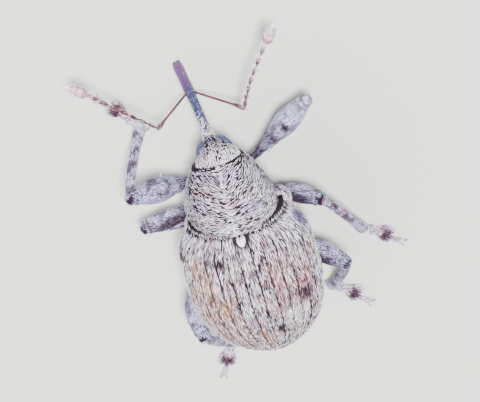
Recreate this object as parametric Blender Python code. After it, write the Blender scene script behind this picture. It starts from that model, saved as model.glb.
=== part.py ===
"""A hazelnut weevil at life size, standing still on six feet.

Sizes are in millimetres and become metres where a mesh is made. The head points to -Y, up is +Z, the
animal's left is +X, and the floor is z = 0. The origin is the middle of the model's footprint.
"""

import math

import bmesh
import bpy
from mathutils import Matrix, Vector

MM = 0.001

# Driving sizes of the trunk.
SEAM = 0.08                      # thin cut kept between two touching nodes
SHELL = 0.5                      # thickness of a wing case
PRONOTUM_LENGTH = 2.20
ELYTRA_LENGTH = 5.3
TRUNK_SPLIT = 1.95               # where the hind thorax ends and the abdomen begins
BASE_RAKE = 0.42                 # how much shorter the prothorax is below than above, at its base
FRONT_RAKE = 0.20                # slope of its front opening
FRONT_TURN = 3.0                 # degrees that the prothorax's front is turned to the animal's left
STRIAE = 10                      # grooves on each wing case
STRIA_DEPTH = 0.035
BELLY_EDGES = (2.65, 3.3, 3.75, 4.2)

# Side plates of the middle thorax: centre by side (1 is left), and radii.
# The turned prothorax bares the right one.
SIDE_PLATES = {1: (1.28, 0.08, 2.32), -1: (-1.36, -0.12, 2.34)}
SIDE_PLATE_RADII = (0.37, 0.42, 0.30)

# The footprint's middle lies this far from the scutellum's base.
CENTRE_X = -0.54
CENTRE_Y = 0.652

# Prothorax stations: distance from its base, half width, top, bottom, shift to the animal's left.
PROTHORAX = (
    (-2.20, 0.80, 3.34, 1.76, 0.13),
    (-1.95, 0.93, 3.47, 1.62, 0.13),
    (-1.50, 1.155, 3.70, 1.43, 0.13),
    (-1.00, 1.32, 3.88, 1.30, 0.12),
    (-0.50, 1.40, 3.97, 1.24, 0.08),
    (-0.15, 1.38, 3.95, 1.24, 0.03),
    (0.00, 1.31, 3.88, 1.26, 0.01),
)

# Hind body stations: distance behind the base, half width, top, widest level, lower margin, belly.
HIND_BODY = (
    (0.00, 1.50, 3.80, 2.75, 2.30, 1.28),
    (0.25, 1.80, 3.93, 2.75, 2.26, 1.20),
    (0.60, 2.00, 4.05, 2.74, 2.22, 1.15),
    (1.40, 2.07, 4.20, 2.70, 2.18, 1.13),
    (2.20, 2.08, 4.15, 2.60, 2.12, 1.22),
    (3.10, 1.97, 3.85, 2.45, 1.99, 1.40),
    (3.90, 1.71, 3.32, 2.28, 1.87, 1.48),
    (4.60, 1.24, 2.70, 2.08, 1.76, 1.52),
    (5.05, 0.74, 2.19, 1.92, 1.67, 1.54),
    (5.30, 0.27, 1.85, 1.79, 1.62, 1.56),
)

# Head: distance along its axis, half width, half height. The axis starts inside the prothorax.
HEAD = (
    (0.00, 0.50, 0.50),
    (0.15, 0.62, 0.62),
    (0.38, 0.71, 0.68),
    (0.62, 0.69, 0.65),
    (0.85, 0.59, 0.55),
    (1.05, 0.42, 0.40),
    (1.21, 0.31, 0.31),
)
HEAD_START = (0.03, -1.62, 2.96)
HEAD_YAW = 12.0                  # degrees to the animal's left
HEAD_DIP = 47.0                  # degrees below level
HEAD_ROLL = 14.0                 # degrees, left eye up
EYE_RADII = (0.18, 0.32, 0.36)   # across, along and up the head
EYE_PLACE = (0.38, 0.97, 0.0)    # out from the axis, along it, above it
EYE_TURN = 0.5                   # how far the eyes look forward

# Snout: its axis bends down and to the left between its root and its tip.
SNOUT_LENGTH = 2.55
SNOUT_DIP = (34.0, 56.0)
SNOUT_YAW = (9.5, 22.0)
SNOUT_RADII = ((0.0, 0.30), (0.10, 0.27), (0.3, 0.25), (0.6, 0.25), (0.9, 0.25), (0.97, 0.235), (1.0, 0.20))

JAW_LENGTH = 0.12

# Antennae: where each springs from the snout, its joints and the way its club points.
ANTENNA_ROOT = 0.62              # share of the snout's length
ANTENNA_RADIUS = 0.25
BEADS = 7
CLUB = (0.62, 0.29)              # length and greatest radius
ANTENNAE = {
    "left": {
        "side": 1,
        "elbow": (1.62, -3.22, 2.0),
        "bend": (2.42, -4.20, 2.42),
        "funicle_end": (3.26, -4.98, 2.36),
        "club_heading": (0.80, -0.60, -0.05),
    },
    "right": {
        "side": -1,
        "elbow": (-1.04, -3.14, 1.9),
        "bend": (-1.46, -4.20, 2.42),
        "funicle_end": (-2.15, -5.22, 2.40),
        "club_heading": (-0.55, -0.82, 0.05),
    },
}

# Coxae: out from the middle, behind the base, height, and radii.
COXAE = {
    "front": {"place": (0.44, -0.82, 1.18), "radii": (0.36, 0.38, 0.38)},
    "mid": {"place": (0.55, 0.06, 1.15), "radii": (0.37, 0.37, 0.37)},
    "hind": {"place": (0.74, 1.90, 1.20), "radii": (0.46, 0.34, 0.34)},
}

# Legs: greatest radius of the femur and length of the tibia, by pair.
FEMUR_RADIUS = {"front": 0.40, "mid": 0.32, "hind": 0.36}
TIBIA = {"front": 2.75, "mid": 2.95, "hind": 2.90}
FEMUR_PROFILE = (
    (0.0, 0.25), (0.25, 0.25), (0.45, 0.29), (0.66, 1.0), (0.80, 0.9), (0.94, 0.26), (1.0, 0.25),
)
TIBIA_RADIUS = 0.25
TIBIA_STEPS = 7
KNEE_RADIUS = 0.29
ANKLE_RADIUS = 0.25
ANKLE_HEIGHT = 0.52
TARSUS_LENGTH = 1.40
SOLE_DROP = 0.03                 # how far a foot's pieces dip under the floor before the sole is cut flat

# Stance. Headings are degrees from straight ahead, outwards; the femur has heading, rise and length.
# bend moves the femur's middle out, back and down; bow moves the tibia's middle away from the femur.
STANCE = {
    "leg_left_front": {
        "pair": "front", "side": 1, "femur": (71.0, 35.0, 3.20), "tibia": 327.0, "tarsus": 44.0,
        "bend": (0.0, 0.12, 0.28), "bow": 0.08,
    },
    "leg_right_front": {
        "pair": "front", "side": -1, "femur": (51.0, 9.0, 3.20), "tibia": 222.0, "tarsus": 235.0,
        "bend": (0.0, 0.0, -0.05), "bow": 0.30,
    },
    "leg_left_mid": {
        "pair": "mid", "side": 1, "femur": (94.0, 8.0, 2.45), "tibia": 258.0, "tarsus": 180.0,
        "bend": (0.0, 0.0, 0.0), "bow": 0.24,
    },
    "leg_right_mid": {
        "pair": "mid", "side": -1, "femur": (97.9, 27.4, 2.28), "tibia": 158.0, "tarsus": 133.0,
        "bend": (0.0, 0.0, 0.25), "bow": 0.08,
    },
    "leg_left_hind": {
        "pair": "hind", "side": 1, "femur": (146.0, 36.0, 2.75), "tibia": 199.0, "tarsus": 156.0,
        "bend": (0.60, 0.0, 0.55), "bow": 0.06,
    },
    "leg_right_hind": {
        "pair": "hind", "side": -1, "femur": (105.0, 33.9, 2.58), "tibia": 201.0, "tarsus": 139.0,
        "bend": (0.0, 0.0, 0.32), "bow": 0.06,
    },
}


def clear_scene():
    for obj in list(bpy.data.objects):
        bpy.data.objects.remove(obj)


def make_material(name, colour, roughness, metallic=0.0):
    material = bpy.data.materials.new(name)
    material.use_nodes = True
    shader = material.node_tree.nodes["Principled BSDF"]
    shader.inputs["Base Color"].default_value = (*colour, 1.0)
    shader.inputs["Roughness"].default_value = roughness
    shader.inputs["Metallic"].default_value = metallic
    return material


def smooth_value(stations, at):
    """The stations' columns at one place, on a smooth curve through them."""
    places = [row[0] for row in stations]
    at = min(max(at, places[0]), places[-1])
    i = max(k for k in range(len(places) - 1) if places[k] <= at)
    span = places[i + 1] - places[i]
    t = (at - places[i]) / span
    found = []
    for column in range(1, len(stations[0])):
        here, there = stations[i][column], stations[i + 1][column]
        slopes = []
        for k in (i, i + 1):
            low, high = max(k - 1, 0), min(k + 1, len(places) - 1)
            slopes.append((stations[high][column] - stations[low][column]) / (places[high] - places[low]))
        value = (2 * t**3 - 3 * t**2 + 1) * here + (3 * t**2 - 2 * t**3) * there
        value += ((t**3 - 2 * t**2 + t) * slopes[0] + (t**3 - t**2) * slopes[1]) * span
        found.append(value)
    return found


def object_from(name, points, faces, material=None):
    """An object with these millimetre points, moved so that the footprint's middle is the origin."""
    shift = Vector((CENTRE_X, CENTRE_Y, 0.0))
    mesh = bpy.data.meshes.new(name)
    mesh.from_pydata([(Vector(p) - shift) * MM for p in points], [], faces)
    if material:
        mesh.materials.append(material)
    work = bmesh.new()
    work.from_mesh(mesh)
    bmesh.ops.recalc_face_normals(work, faces=work.faces)
    work.to_mesh(mesh)
    work.free()
    mesh.shade_smooth()
    mesh.set_sharp_from_angle(angle=math.radians(35))
    obj = bpy.data.objects.new(name, mesh)
    bpy.context.scene.collection.objects.link(obj)
    return obj


def loft(name, rings, material=None):
    """A closed body through rings of equal count, with a flat face at each end."""
    count = len(rings[0])
    points = [p for ring in rings for p in ring]
    faces = [tuple(range(count)), tuple(reversed(range(len(points) - count, len(points))))]
    for k in range(len(rings) - 1):
        for j in range(count):
            a, b = k * count + j, k * count + (j + 1) % count
            faces.append((a, b, b + count, a + count))
    return object_from(name, points, faces, material)


def frame_along(tangent, up):
    across = tangent.cross(up).normalized()
    return across, across.cross(tangent).normalized()


def tube(name, path, radii, sides, up=(0, 0, 1), material=None):
    """A body along a path. radii gives (across, upward) at each point."""
    rings = []
    path = [Vector(p) for p in path]
    for k, centre in enumerate(path):
        tangent = (path[min(k + 1, len(path) - 1)] - path[max(k - 1, 0)]).normalized()
        across, above = frame_along(tangent, Vector(up))
        wide, tall = radii[k]
        ring = []
        for j in range(sides):
            angle = math.tau * j / sides
            ring.append(centre + across * wide * math.cos(angle) + above * tall * math.sin(angle))
        rings.append(ring)
    return loft(name, rings, material)


def ellipsoid(name, centre, radii, axes=None, segments=20, rings=12, material=None):
    """A closed ellipsoid; axes are the directions of its three radii."""
    axes = axes or (Vector((1, 0, 0)), Vector((0, 1, 0)), Vector((0, 0, 1)))
    work = bmesh.new()
    bmesh.ops.create_uvsphere(work, u_segments=segments, v_segments=rings, radius=1.0)
    points = []
    for vert in work.verts:
        place = Vector(centre)
        for axis, radius, share in zip(axes, radii, vert.co):
            place = place + axis * radius * share
        points.append(place)
    faces = [tuple(v.index for v in face.verts) for face in work.faces]
    work.free()
    return object_from(name, points, faces, material)


def bake(obj):
    """Applies the object's modifiers and leaves one plain mesh."""
    graph = bpy.context.evaluated_depsgraph_get()
    made = bpy.data.meshes.new_from_object(obj.evaluated_get(graph))
    obj.modifiers.clear()
    obj.data = made


def keep_largest(obj):
    """Drops every closed surface but the one with the most volume."""
    work = bmesh.new()
    work.from_mesh(obj.data)
    left = set(work.verts)
    shells = []
    while left:
        shell, front = set(), [left.pop()]
        while front:
            vert = front.pop()
            shell.add(vert)
            for edge in vert.link_edges:
                other = edge.other_vert(vert)
                if other in left:
                    left.remove(other)
                    front.append(other)
        shells.append(shell)
    if len(shells) > 1:
        def volume(shell):
            faces = {f for v in shell for f in v.link_faces}
            total = 0.0
            for face in faces:
                corners = [v.co for v in face.verts]
                for a, b in zip(corners[1:], corners[2:]):
                    total += corners[0].dot(a.cross(b))
            return total
        best = max(shells, key=volume)
        bmesh.ops.delete(work, geom=[v for s in shells if s is not best for v in s], context="VERTS")
        work.to_mesh(obj.data)
    work.free()


def combine(obj, others, operation):
    """One Boolean of obj with a collection of closed meshes, applied; the others are then removed."""
    group = bpy.data.collections.new("pieces")
    bpy.context.scene.collection.children.link(group)
    for other in others:
        bpy.context.scene.collection.objects.unlink(other)
        group.objects.link(other)
    modifier = obj.modifiers.new("combine", "BOOLEAN")
    modifier.operation = operation
    modifier.operand_type = "COLLECTION"
    modifier.collection = group
    modifier.solver = "MANIFOLD"
    bake(obj)
    for other in others:
        bpy.data.objects.remove(other)
    bpy.data.collections.remove(group)
    keep_largest(obj)
    return obj


def cosine_stations(start, end, count, ease=1.0):
    """Places from start to end that crowd together towards the end."""
    span = end - start
    places = []
    for k in range(count + 1):
        share = k / count
        places.append(start + span * ((1 - ease) * share + ease * math.sin(share * math.pi / 2)))
    return places


def raked(z):
    """How far the joint between prothorax and hind body leans forward at this height."""
    return BASE_RAKE * (PROTHORAX[-1][2] - z) / (PROTHORAX[-1][2] - PROTHORAX[-1][3])


def lean(place, z):
    """A place on the hind body, with the lean of its front fading out behind it."""
    return place - raked(z) * max(0.0, 1 - place / 1.4) ** 2


# Prothorax: one ring of chitin, shorter below than above.
def build_prothorax(material):
    sides, steps = 28, 11
    end = -SEAM / 2
    rings = []
    for k in range(steps + 1):
        share = k / steps
        eased = 0.35 * share + 0.65 * math.sin(share * math.pi / 2)
        place = -PRONOTUM_LENGTH + (PRONOTUM_LENGTH + end) * eased
        half, top, bottom, shift = smooth_value(PROTHORAX, place)
        middle, tall = (top + bottom) / 2, (top - bottom) / 2
        near_base = max(0.0, 1 + (place - end) / 1.4) ** 2
        near_front = (max(0.0, -0.3 - place) / (PRONOTUM_LENGTH - 0.3)) ** 1.3
        turn = min(max(-place / 1.2, 0.0), 1.0)
        turn = math.sin(math.radians(FRONT_TURN)) * turn * turn * (3 - 2 * turn)
        ring = []
        for j in range(sides):
            angle = math.tau * j / sides
            z = middle + tall * math.sin(angle)
            x = half * math.cos(angle)
            slope = FRONT_RAKE * (PROTHORAX[0][2] - z) * near_front
            ring.append((x + shift, place + x * turn + slope - raked(z) * near_base, z))
        rings.append(ring)
    return loft("prothorax", rings, material)


def groove(share):
    """How deep a wing case's surface lies under its ribs, at this share of the way from seam to margin."""
    phase = share * STRIAE % 1.0
    return STRIA_DEPTH * max(0.0, 1.0 - abs(phase - 0.5) / 0.17)


def shell_section(place, side):
    """One wing case's closed outline: over the top from seam to margin, then back along its inside."""
    half, top, waist, margin, _ = smooth_value(HIND_BODY, place)
    half -= SEAM / 2
    inner_half = max(half - SHELL, 0.38 * half)
    inner_rise = max(top - waist - SHELL, 0.38 * (top - waist))
    shares = [0.0]
    for stria in range(STRIAE):
        shares += [(stria + step) / STRIAE for step in (0.34, 0.5, 0.66)]
    shares.append(1.0)
    ring = []
    for share in shares:
        angle = share * 1.22 * math.pi / 2
        lift = 1 - groove(share) / half
        if angle <= math.pi / 2:
            x, z = half * math.sin(angle) * lift, waist + (top - waist) * math.cos(angle) * lift
        else:
            down = (angle - math.pi / 2) / (0.22 * math.pi / 2)
            x, z = half * (1 - 0.10 * down * down) * lift, waist + (margin - waist) * down
        ring.append((x, z))
    ring.append((inner_half * 0.95, margin))
    inside = 6
    for k in range(inside + 1):
        angle = (1 - k / inside) * math.pi / 2
        ring.append((inner_half * math.sin(angle), waist + inner_rise * math.cos(angle)))
    return [(side * (x + SEAM / 2), lean(place, z), z) for x, z in ring]


def hind_stations(end):
    return [SEAM / 2] + cosine_stations(0.30, end, 16, 0.75)


def build_elytron(name, side, material):
    return loft(name, [shell_section(place, side) for place in hind_stations(ELYTRA_LENGTH)], material)


def core_section(place, step=0.0):
    """The body under the wing cases: a rounded belly, and a back that fits inside them."""
    half, top, waist, margin, belly = smooth_value(HIND_BODY, place)
    inner_half = max(half - SHELL, 0.38 * half) - 1.5 * SEAM
    inner_rise = max(top - waist - SHELL, 0.38 * (top - waist)) - 1.5 * SEAM
    inner_half, inner_rise = max(inner_half, 0.05), max(inner_rise, 0.05)
    wide, deck = half * 0.88, margin - SEAM
    depth = deck - belly - step
    quarter = []
    for k in range(7):
        angle = math.pi / 2 * k / 6
        quarter.append((wide * math.sin(angle), deck - depth * math.cos(angle) ** 1.8))
    for k in range(6):
        angle = math.pi / 2 * (1 - k / 5)
        quarter.append((inner_half * math.sin(angle), waist + inner_rise * math.cos(angle)))
    quarter.insert(7, (inner_half * 0.95, deck))
    ring = quarter + [(-x, z) for x, z in reversed(quarter[1:-1])]
    return [(x, lean(place, z), z) for x, z in ring]


def build_core(name, start, end, material, segments=()):
    """segments are the places where one belly plate overlaps the next by a small step."""
    inside = [p for p in hind_stations(ELYTRA_LENGTH - 0.12) if start + 0.08 < p < end - 0.08]
    places = [(start, 0.0)] + [(p, 0.0) for p in inside] + [(end, 0.0)]
    for edge in segments:
        places = [row for row in places if abs(row[0] - edge) > 0.06]
        places += [(edge - 0.03, 0.0), (edge + 0.03, 0.0)]
    rings = []
    for place, _ in sorted(places):
        ahead = max([e for e in (start, *segments) if e <= place], default=start)
        behind = min([e for e in (*segments, end) if e > place], default=end)
        share = (place - ahead) / max(behind - ahead, 0.01)
        rings.append(core_section(place, 0.05 * (1 - share) if segments else 0.0))
    return loft(name, rings, material)


def swell(obj, by):
    """Moves the whole surface outward by a distance in millimetres."""
    work = bmesh.new()
    work.from_mesh(obj.data)
    work.normal_update()
    for vert in work.verts:
        vert.co += vert.normal * by * MM
    work.to_mesh(obj.data)
    work.free()
    return obj


def build_side_plate(side):
    """The plate that rises between the prothorax and a wing case, clear of both."""
    plate = ellipsoid("side_plate", SIDE_PLATES[side], SIDE_PLATE_RADII, segments=12, rings=8)
    rings = []
    for place in (SEAM / 2, 0.15, 0.30, 0.60):
        half, top, waist, margin, _ = smooth_value(HIND_BODY, place)
        shoulder = (0.7 * half, 0.3 * waist + 0.7 * top)
        outline = [(0.0, margin), (half, margin), (half, waist), shoulder, (0.0, top)]
        rings.append([(side * x, lean(place, z), z) for x, z in outline])
    neighbours = [build_prothorax(None), loft("wing_case", rings)]
    return combine(plate, [swell(obj, 1.4 * SEAM) for obj in neighbours], "DIFFERENCE")


def build_scutellum(material, grow=0.0):
    radii = (0.17 + grow, 0.22 + grow, 0.22 + grow)
    return ellipsoid("scutellum", (0, 0.20, 3.84), radii, segments=16, rings=8, material=material)


# Head and snout.
def heading(yaw, dip):
    """A direction from degrees to the animal's left and degrees below level."""
    yaw, dip = math.radians(yaw), math.radians(dip)
    return Vector((math.sin(yaw) * math.cos(dip), -math.cos(yaw) * math.cos(dip), -math.sin(dip)))


def head_frame():
    """The head's forward, left and up directions."""
    forward = heading(HEAD_YAW, HEAD_DIP)
    roll = Matrix.Rotation(math.radians(HEAD_ROLL), 3, forward)
    left = roll @ Vector((0, 0, 1)).cross(forward).normalized()
    return forward, left, forward.cross(left)


def head_point(along, out=0.0, above=0.0):
    forward, left, up = head_frame()
    return Vector(HEAD_START) + forward * along + left * out + up * above


def build_head(material, grow=0.0):
    _, _, up = head_frame()
    stations = [(row[0], row[1] + grow, row[2] + grow) for row in HEAD]
    if grow:
        stations[0] = (HEAD[0][0] - grow, HEAD[0][1], HEAD[0][2])
    path = [head_point(row[0]) for row in stations]
    return tube("head", path, [(row[1], row[2]) for row in stations], 24, up=up, material=material)


def build_eye(name, side, material, grow=0.0):
    forward, left, up = head_frame()
    out, along, above = EYE_PLACE
    outward = (left * side + forward * EYE_TURN).normalized()
    onward = (forward - outward * forward.dot(outward)).normalized()
    axes = (outward, onward, up)
    centre = head_point(along, out * side, above)
    return ellipsoid(name, centre, [r + grow for r in EYE_RADII], axes, 14, 10, material)


def snout_point(share):
    """A point of the snout's axis, by its share of the length."""
    place = head_point(HEAD[-1][0] + SEAM + 0.05)
    steps = 24
    for k in range(round(share * steps)):
        way = (k + 0.5) / steps
        yaw = SNOUT_YAW[0] + (SNOUT_YAW[1] - SNOUT_YAW[0]) * way
        dip = SNOUT_DIP[0] + (SNOUT_DIP[1] - SNOUT_DIP[0]) * way
        place = place + heading(yaw, dip) * SNOUT_LENGTH / steps
    return place


def build_snout(material):
    steps = 12
    path = [snout_point(k / steps) for k in range(steps + 1)]
    radii = []
    for k in range(steps + 1):
        radius = smooth_value(SNOUT_RADII, k / steps)[0]
        radii.append((radius, radius))
    snout = tube("snout", path, radii, 14, up=(0, -0.3, 1), material=material)
    onward = (path[-1] - path[-2]).normalized()
    across, _ = frame_along(onward, Vector((0, -0.3, 1)))
    jaws = []
    for turn in (1, -1):
        points = (
            path[-1] - onward * 0.06 + across * 0.10 * turn,
            path[-1] + onward * JAW_LENGTH * 0.6 + across * 0.11 * turn,
            path[-1] + onward * JAW_LENGTH + across * 0.03 * turn,
        )
        jaws.append(tube("jaw", points, [(0.065, 0.065), (0.055, 0.06), (0.02, 0.03)], 6, up=across))
    return combine(snout, jaws, "UNION")


def curve_point(start, bend, end, t):
    """A point of the curve from start to end that is pulled towards bend."""
    return start * (1 - t) ** 2 + bend * 2 * t * (1 - t) + end * t**2


def build_antenna(name, plan, materials):
    root = snout_point(ANTENNA_ROOT)
    elbow, bend, end = (Vector(plan[key]) for key in ("elbow", "bend", "funicle_end"))
    outward = (elbow - root).normalized()
    snout_radius = smooth_value(SNOUT_RADII, ANTENNA_ROOT)[0]
    scape_path = [root.lerp(elbow, k / 5) for k in range(6)]
    radii = [(ANTENNA_RADIUS * s, ANTENNA_RADIUS * s) for s in (0.94, 0.94, 0.94, 0.95, 1.0, 0.96)]
    scape = tube(f"{name}_scape", scape_path, radii, 10, material=materials["antenna"])
    combine(scape, [ellipsoid("knob", elbow, (0.25,) * 3, segments=12, rings=6)], "UNION")
    along = [snout_point(ANTENNA_ROOT + step) for step in (-0.25, -0.125, 0.0, 0.125, 0.25)]
    clearance = [(snout_radius + SEAM, snout_radius + SEAM)] * 5
    combine(scape, [tube("clearance", along, clearance, 16, up=(0, -0.3, 1))], "DIFFERENCE")
    control = bend * 2 - (elbow + end) / 2
    beads, radii = [], []
    for bead in range(BEADS):
        for share, radius in ((0.0, 0.19), (0.4, 0.235), (0.8, 0.25)):
            beads.append(curve_point(elbow, control, end, (bead + share) / BEADS))
            radii.append((radius, radius))
    beads.append(end)
    radii.append((0.19, 0.19))
    funicle = tube(f"{name}_funicle", beads, radii, 8, material=materials["antenna"])
    socket = ellipsoid("socket", elbow, (0.25 + SEAM,) * 3, segments=12, rings=6)
    upper = tube("clearance", [elbow.lerp(root, 0.15), elbow.lerp(root, 0.9)], [(0.25 + SEAM,) * 2] * 2, 10)
    combine(funicle, [socket, upper], "DIFFERENCE")
    onward = (end - beads[-2]).normalized()
    club_way = Vector(plan["club_heading"]).normalized()
    length, radius = CLUB
    shares = ((0.0, 0.62), (0.12, 0.82), (0.32, 1.0), (0.55, 0.95), (0.78, 0.68), (0.93, 0.34), (1.0, 0.12))
    start = end + onward * (SEAM + 0.05)
    path = [start + club_way * length * share for share, _ in shares]
    tube(f"{name}_club", path, [(radius * s, radius * s) for _, s in shares], 12, material=materials["club"])


# Legs: coxa, femur, tibia and foot, each meeting the last at a ball.
def level_heading(side, degrees):
    angle = math.radians(degrees)
    return Vector((side * math.sin(angle), -math.cos(angle), 0.0))


def coxa_place(pair, side):
    x, y, z = COXAE[pair]["place"]
    return Vector((side * x, y, z))


def leg_joints(plan):
    """Hip, knee, ankle and claw of one leg."""
    side, pair = plan["side"], plan["pair"]
    hip = coxa_place(pair, side)
    femur_heading, rise, reach = plan["femur"]
    rise = math.radians(rise)
    way = level_heading(side, femur_heading)
    knee = hip + (way * math.cos(rise) + Vector((0, 0, 1)) * math.sin(rise)) * reach
    drop = knee.z - ANKLE_HEIGHT
    stride = math.sqrt(TIBIA[pair] ** 2 - drop**2)
    ankle = knee + level_heading(side, plan["tibia"]) * stride - Vector((0, 0, drop))
    claw = ankle + level_heading(side, plan["tarsus"]) * TARSUS_LENGTH
    claw.z = 0.0
    return hip, knee, ankle, claw


def build_coxa(name, pair, side, material, grow=0.0):
    radii = [r + grow for r in COXAE[pair]["radii"]]
    return ellipsoid(name, coxa_place(pair, side), radii, segments=12, rings=6, material=material)


def away_from_femur(joints):
    """The direction across the tibia that points away from the femur."""
    hip, knee, ankle, _ = joints
    way = (ankle - knee).normalized()
    back = hip - knee
    return (way * back.dot(way) - back).normalized()


def tibia_path(plan, joints, steps):
    _, knee, ankle, _ = joints
    away = away_from_femur(joints)
    path = []
    for k in range(steps + 1):
        t = k / steps
        path.append(knee.lerp(ankle, t) + away * plan["bow"] * math.sin(math.pi * t**0.7))
    return path


def build_femur(name, plan, joints, material):
    hip, knee, ankle, _ = joints
    pair, side = plan["pair"], plan["side"]
    thick = FEMUR_RADIUS[pair]
    out, back, down = plan["bend"]
    middle = hip.lerp(knee, 0.5) + Vector((side * out, back, -down))
    control = middle * 2 - (hip + knee) / 2
    steps = 9
    path = [curve_point(hip, control, knee, k / steps) for k in range(steps + 1)]
    radii = []
    for k in range(steps + 1):
        radius = smooth_value(FEMUR_PROFILE, k / steps)[0]
        if radius > 0.3:
            radius = 0.25 + (thick - 0.25) * (radius - 0.25) / 0.75
        radii.append((radius * 0.96, radius))
    below = (ankle - knee).normalized()
    femur = tube(name, path, radii, 10, up=-below, material=material)
    root = path[6]
    tip = root + below * (thick + 0.24) + (knee - hip).normalized() * 0.05
    tooth_radii = [(0.22, 0.22), (0.17, 0.17), (0.05, 0.05)]
    tooth = tube("tooth", [root, root.lerp(tip, 0.6), tip], tooth_radii, 6, up=(1, 0.2, 0))
    knob = ellipsoid("knob", knee, (KNEE_RADIUS,) * 3, segments=12, rings=6)
    folded = (hip - knee).normalized().dot(below) > 0.8
    shin = tibia_tube("clearance", plan, joints, None, grow=SEAM, first=1 if folded else 0)
    if folded:
        combine(femur, [tooth, knob], "UNION")
        combine(femur, [shin], "DIFFERENCE")
    else:
        combine(femur, [shin], "DIFFERENCE")
        combine(femur, [tooth, knob], "UNION")
    combine(femur, [build_coxa("socket", pair, side, None, SEAM)], "DIFFERENCE")
    return femur


def tibia_tube(name, plan, joints, material, grow=0.0, first=0):
    steps = TIBIA_STEPS
    path = tibia_path(plan, joints, steps)[first:]
    radii = []
    for k in range(first, steps + 1):
        t = k / steps
        radius = TIBIA_RADIUS * (0.64 + 0.36 * min(1.0, t / 0.28) + 0.14 * max(0.0, t - 0.75) / 0.25) + grow
        radii.append((radius, radius))
    return tube(name, path, radii, 10, up=away_from_femur(joints), material=material)


def build_tibia(name, plan, joints, material):
    _, knee, ankle, _ = joints
    way = (ankle - knee).normalized()
    tibia = tibia_tube(name, plan, joints, material)
    inward = -away_from_femur(joints)
    root = knee.lerp(ankle, 0.93)
    tip = ankle + inward * 0.42 + way * 0.03
    spur_radii = [(0.16, 0.16), (0.12, 0.12), (0.04, 0.04)]
    spur = tube("spur", [root, root.lerp(tip, 0.6), tip], spur_radii, 6, up=way)
    knob = ellipsoid("knob", ankle, (ANKLE_RADIUS,) * 3, segments=10, rings=6)
    combine(tibia, [spur, knob], "UNION")
    combine(tibia, [ellipsoid("socket", knee, (KNEE_RADIUS + SEAM,) * 3, segments=12, rings=6)], "DIFFERENCE")
    return tibia


def build_foot(name, plan, joints, material):
    """Two short joints, a two-lobed third one with a flat sole, the long claw joint and two claws."""
    _, _, ankle, claw = joints
    level = Vector((claw.x - ankle.x, claw.y - ankle.y, 0.0)).normalized()
    across = Vector((0, 0, 1)).cross(level)
    rest = 0.25 - SOLE_DROP
    lobe_place = ankle.lerp(claw, 0.56)
    lobe_place.z = rest
    knee_down = ankle + level * 0.12 + Vector((0, 0, -0.06))
    root = tube(
        name,
        [knee_down, ankle.lerp(lobe_place, 0.45), lobe_place.lerp(ankle, 0.18), lobe_place],
        [(0.23, 0.25), (0.28, 0.25), (0.25, 0.25), (0.25, 0.25)],
        10,
        material=material,
    )
    pieces = []
    for turn in (1, -1):
        centre = lobe_place + across * 0.15 * turn + level * 0.08
        way = (level + across * 0.28 * turn).normalized()
        axes = (way.cross(Vector((0, 0, 1))), way, Vector((0, 0, 1)))
        pieces.append(ellipsoid("lobe", centre, (0.20, 0.32, 0.25), axes, 8, 5))
    tip = claw.copy()
    tip.z = 0.27
    claw_path = [lobe_place, lobe_place.lerp(tip, 0.5) + Vector((0, 0, 0.05)), tip]
    pieces.append(tube("claw_joint", claw_path, [(0.22, 0.22), (0.23, 0.23), (0.25, 0.25)], 6))
    for turn in (1, -1):
        a = tip - level * 0.10 + across * 0.10 * turn
        b = tip + level * 0.20 + across * 0.20 * turn - Vector((0, 0, 0.02))
        c = tip + level * 0.36 + across * 0.26 * turn - Vector((0, 0, 0.17))
        pieces.append(tube("hook", [a, b, c], [(0.14, 0.14), (0.12, 0.12), (0.04, 0.04)], 5))
    combine(root, pieces, "UNION")
    floor = object_from("floor", *box_mesh(Vector((ankle.x, ankle.y, -2.0)), 6.0, 2.0))
    socket = ellipsoid("socket", ankle, (ANKLE_RADIUS + SEAM,) * 3, segments=10, rings=6)
    shin = tibia_tube("clearance", plan, joints, None, grow=SEAM, first=4)
    combine(root, [floor, socket, shin], "DIFFERENCE")
    return root


def box_mesh(centre, half, half_height):
    """Corners and faces of a block whose top is half_height above its centre."""
    points = []
    for z in (-half_height, half_height):
        for x, y in ((-half, -half), (half, -half), (half, half), (-half, half)):
            points.append(centre + Vector((x, y, z)))
    faces = [(3, 2, 1, 0), (4, 5, 6, 7), (0, 1, 5, 4), (1, 2, 6, 5), (2, 3, 7, 6), (3, 0, 4, 7)]
    return points, faces


def build_trunk(materials):
    plates = [build_side_plate(side) for side in (1, -1)]
    prothorax = build_prothorax(materials["scales"])
    thorax = build_core("hind_thorax", SEAM / 2, TRUNK_SPLIT - SEAM / 2, materials["belly"])
    combine(thorax, plates, "UNION")
    abdomen = build_core(
        "abdomen", TRUNK_SPLIT + SEAM / 2, ELYTRA_LENGTH - 0.22, materials["belly"], segments=BELLY_EDGES
    )
    elytra = [
        build_elytron("wing_case_left", 1, materials["scales"]),
        build_elytron("wing_case_right", -1, materials["scales"]),
    ]
    cutters = {obj.name: [] for obj in (prothorax, thorax, abdomen, *elytra)}
    for side in (1, -1):
        cutters["prothorax"] += [build_coxa("socket", pair, side, None, SEAM) for pair in ("front", "mid")]
        cutters["hind_thorax"] += [build_coxa("socket", pair, side, None, SEAM) for pair in ("mid", "hind")]
        cutters["abdomen"] += [build_coxa("socket", "hind", side, None, SEAM)]
    for obj in elytra:
        cutters[obj.name].append(build_scutellum(None, SEAM))
    cutters["hind_thorax"].append(build_scutellum(None, SEAM))
    cutters["prothorax"] += [build_scutellum(None, SEAM), build_head(None, SEAM)]
    cutters["prothorax"] += [build_eye("socket", side, None, SEAM) for side in (1, -1)]
    for obj in (prothorax, thorax, abdomen, *elytra):
        combine(obj, cutters[obj.name], "DIFFERENCE")
    build_scutellum(materials["white"])


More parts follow.
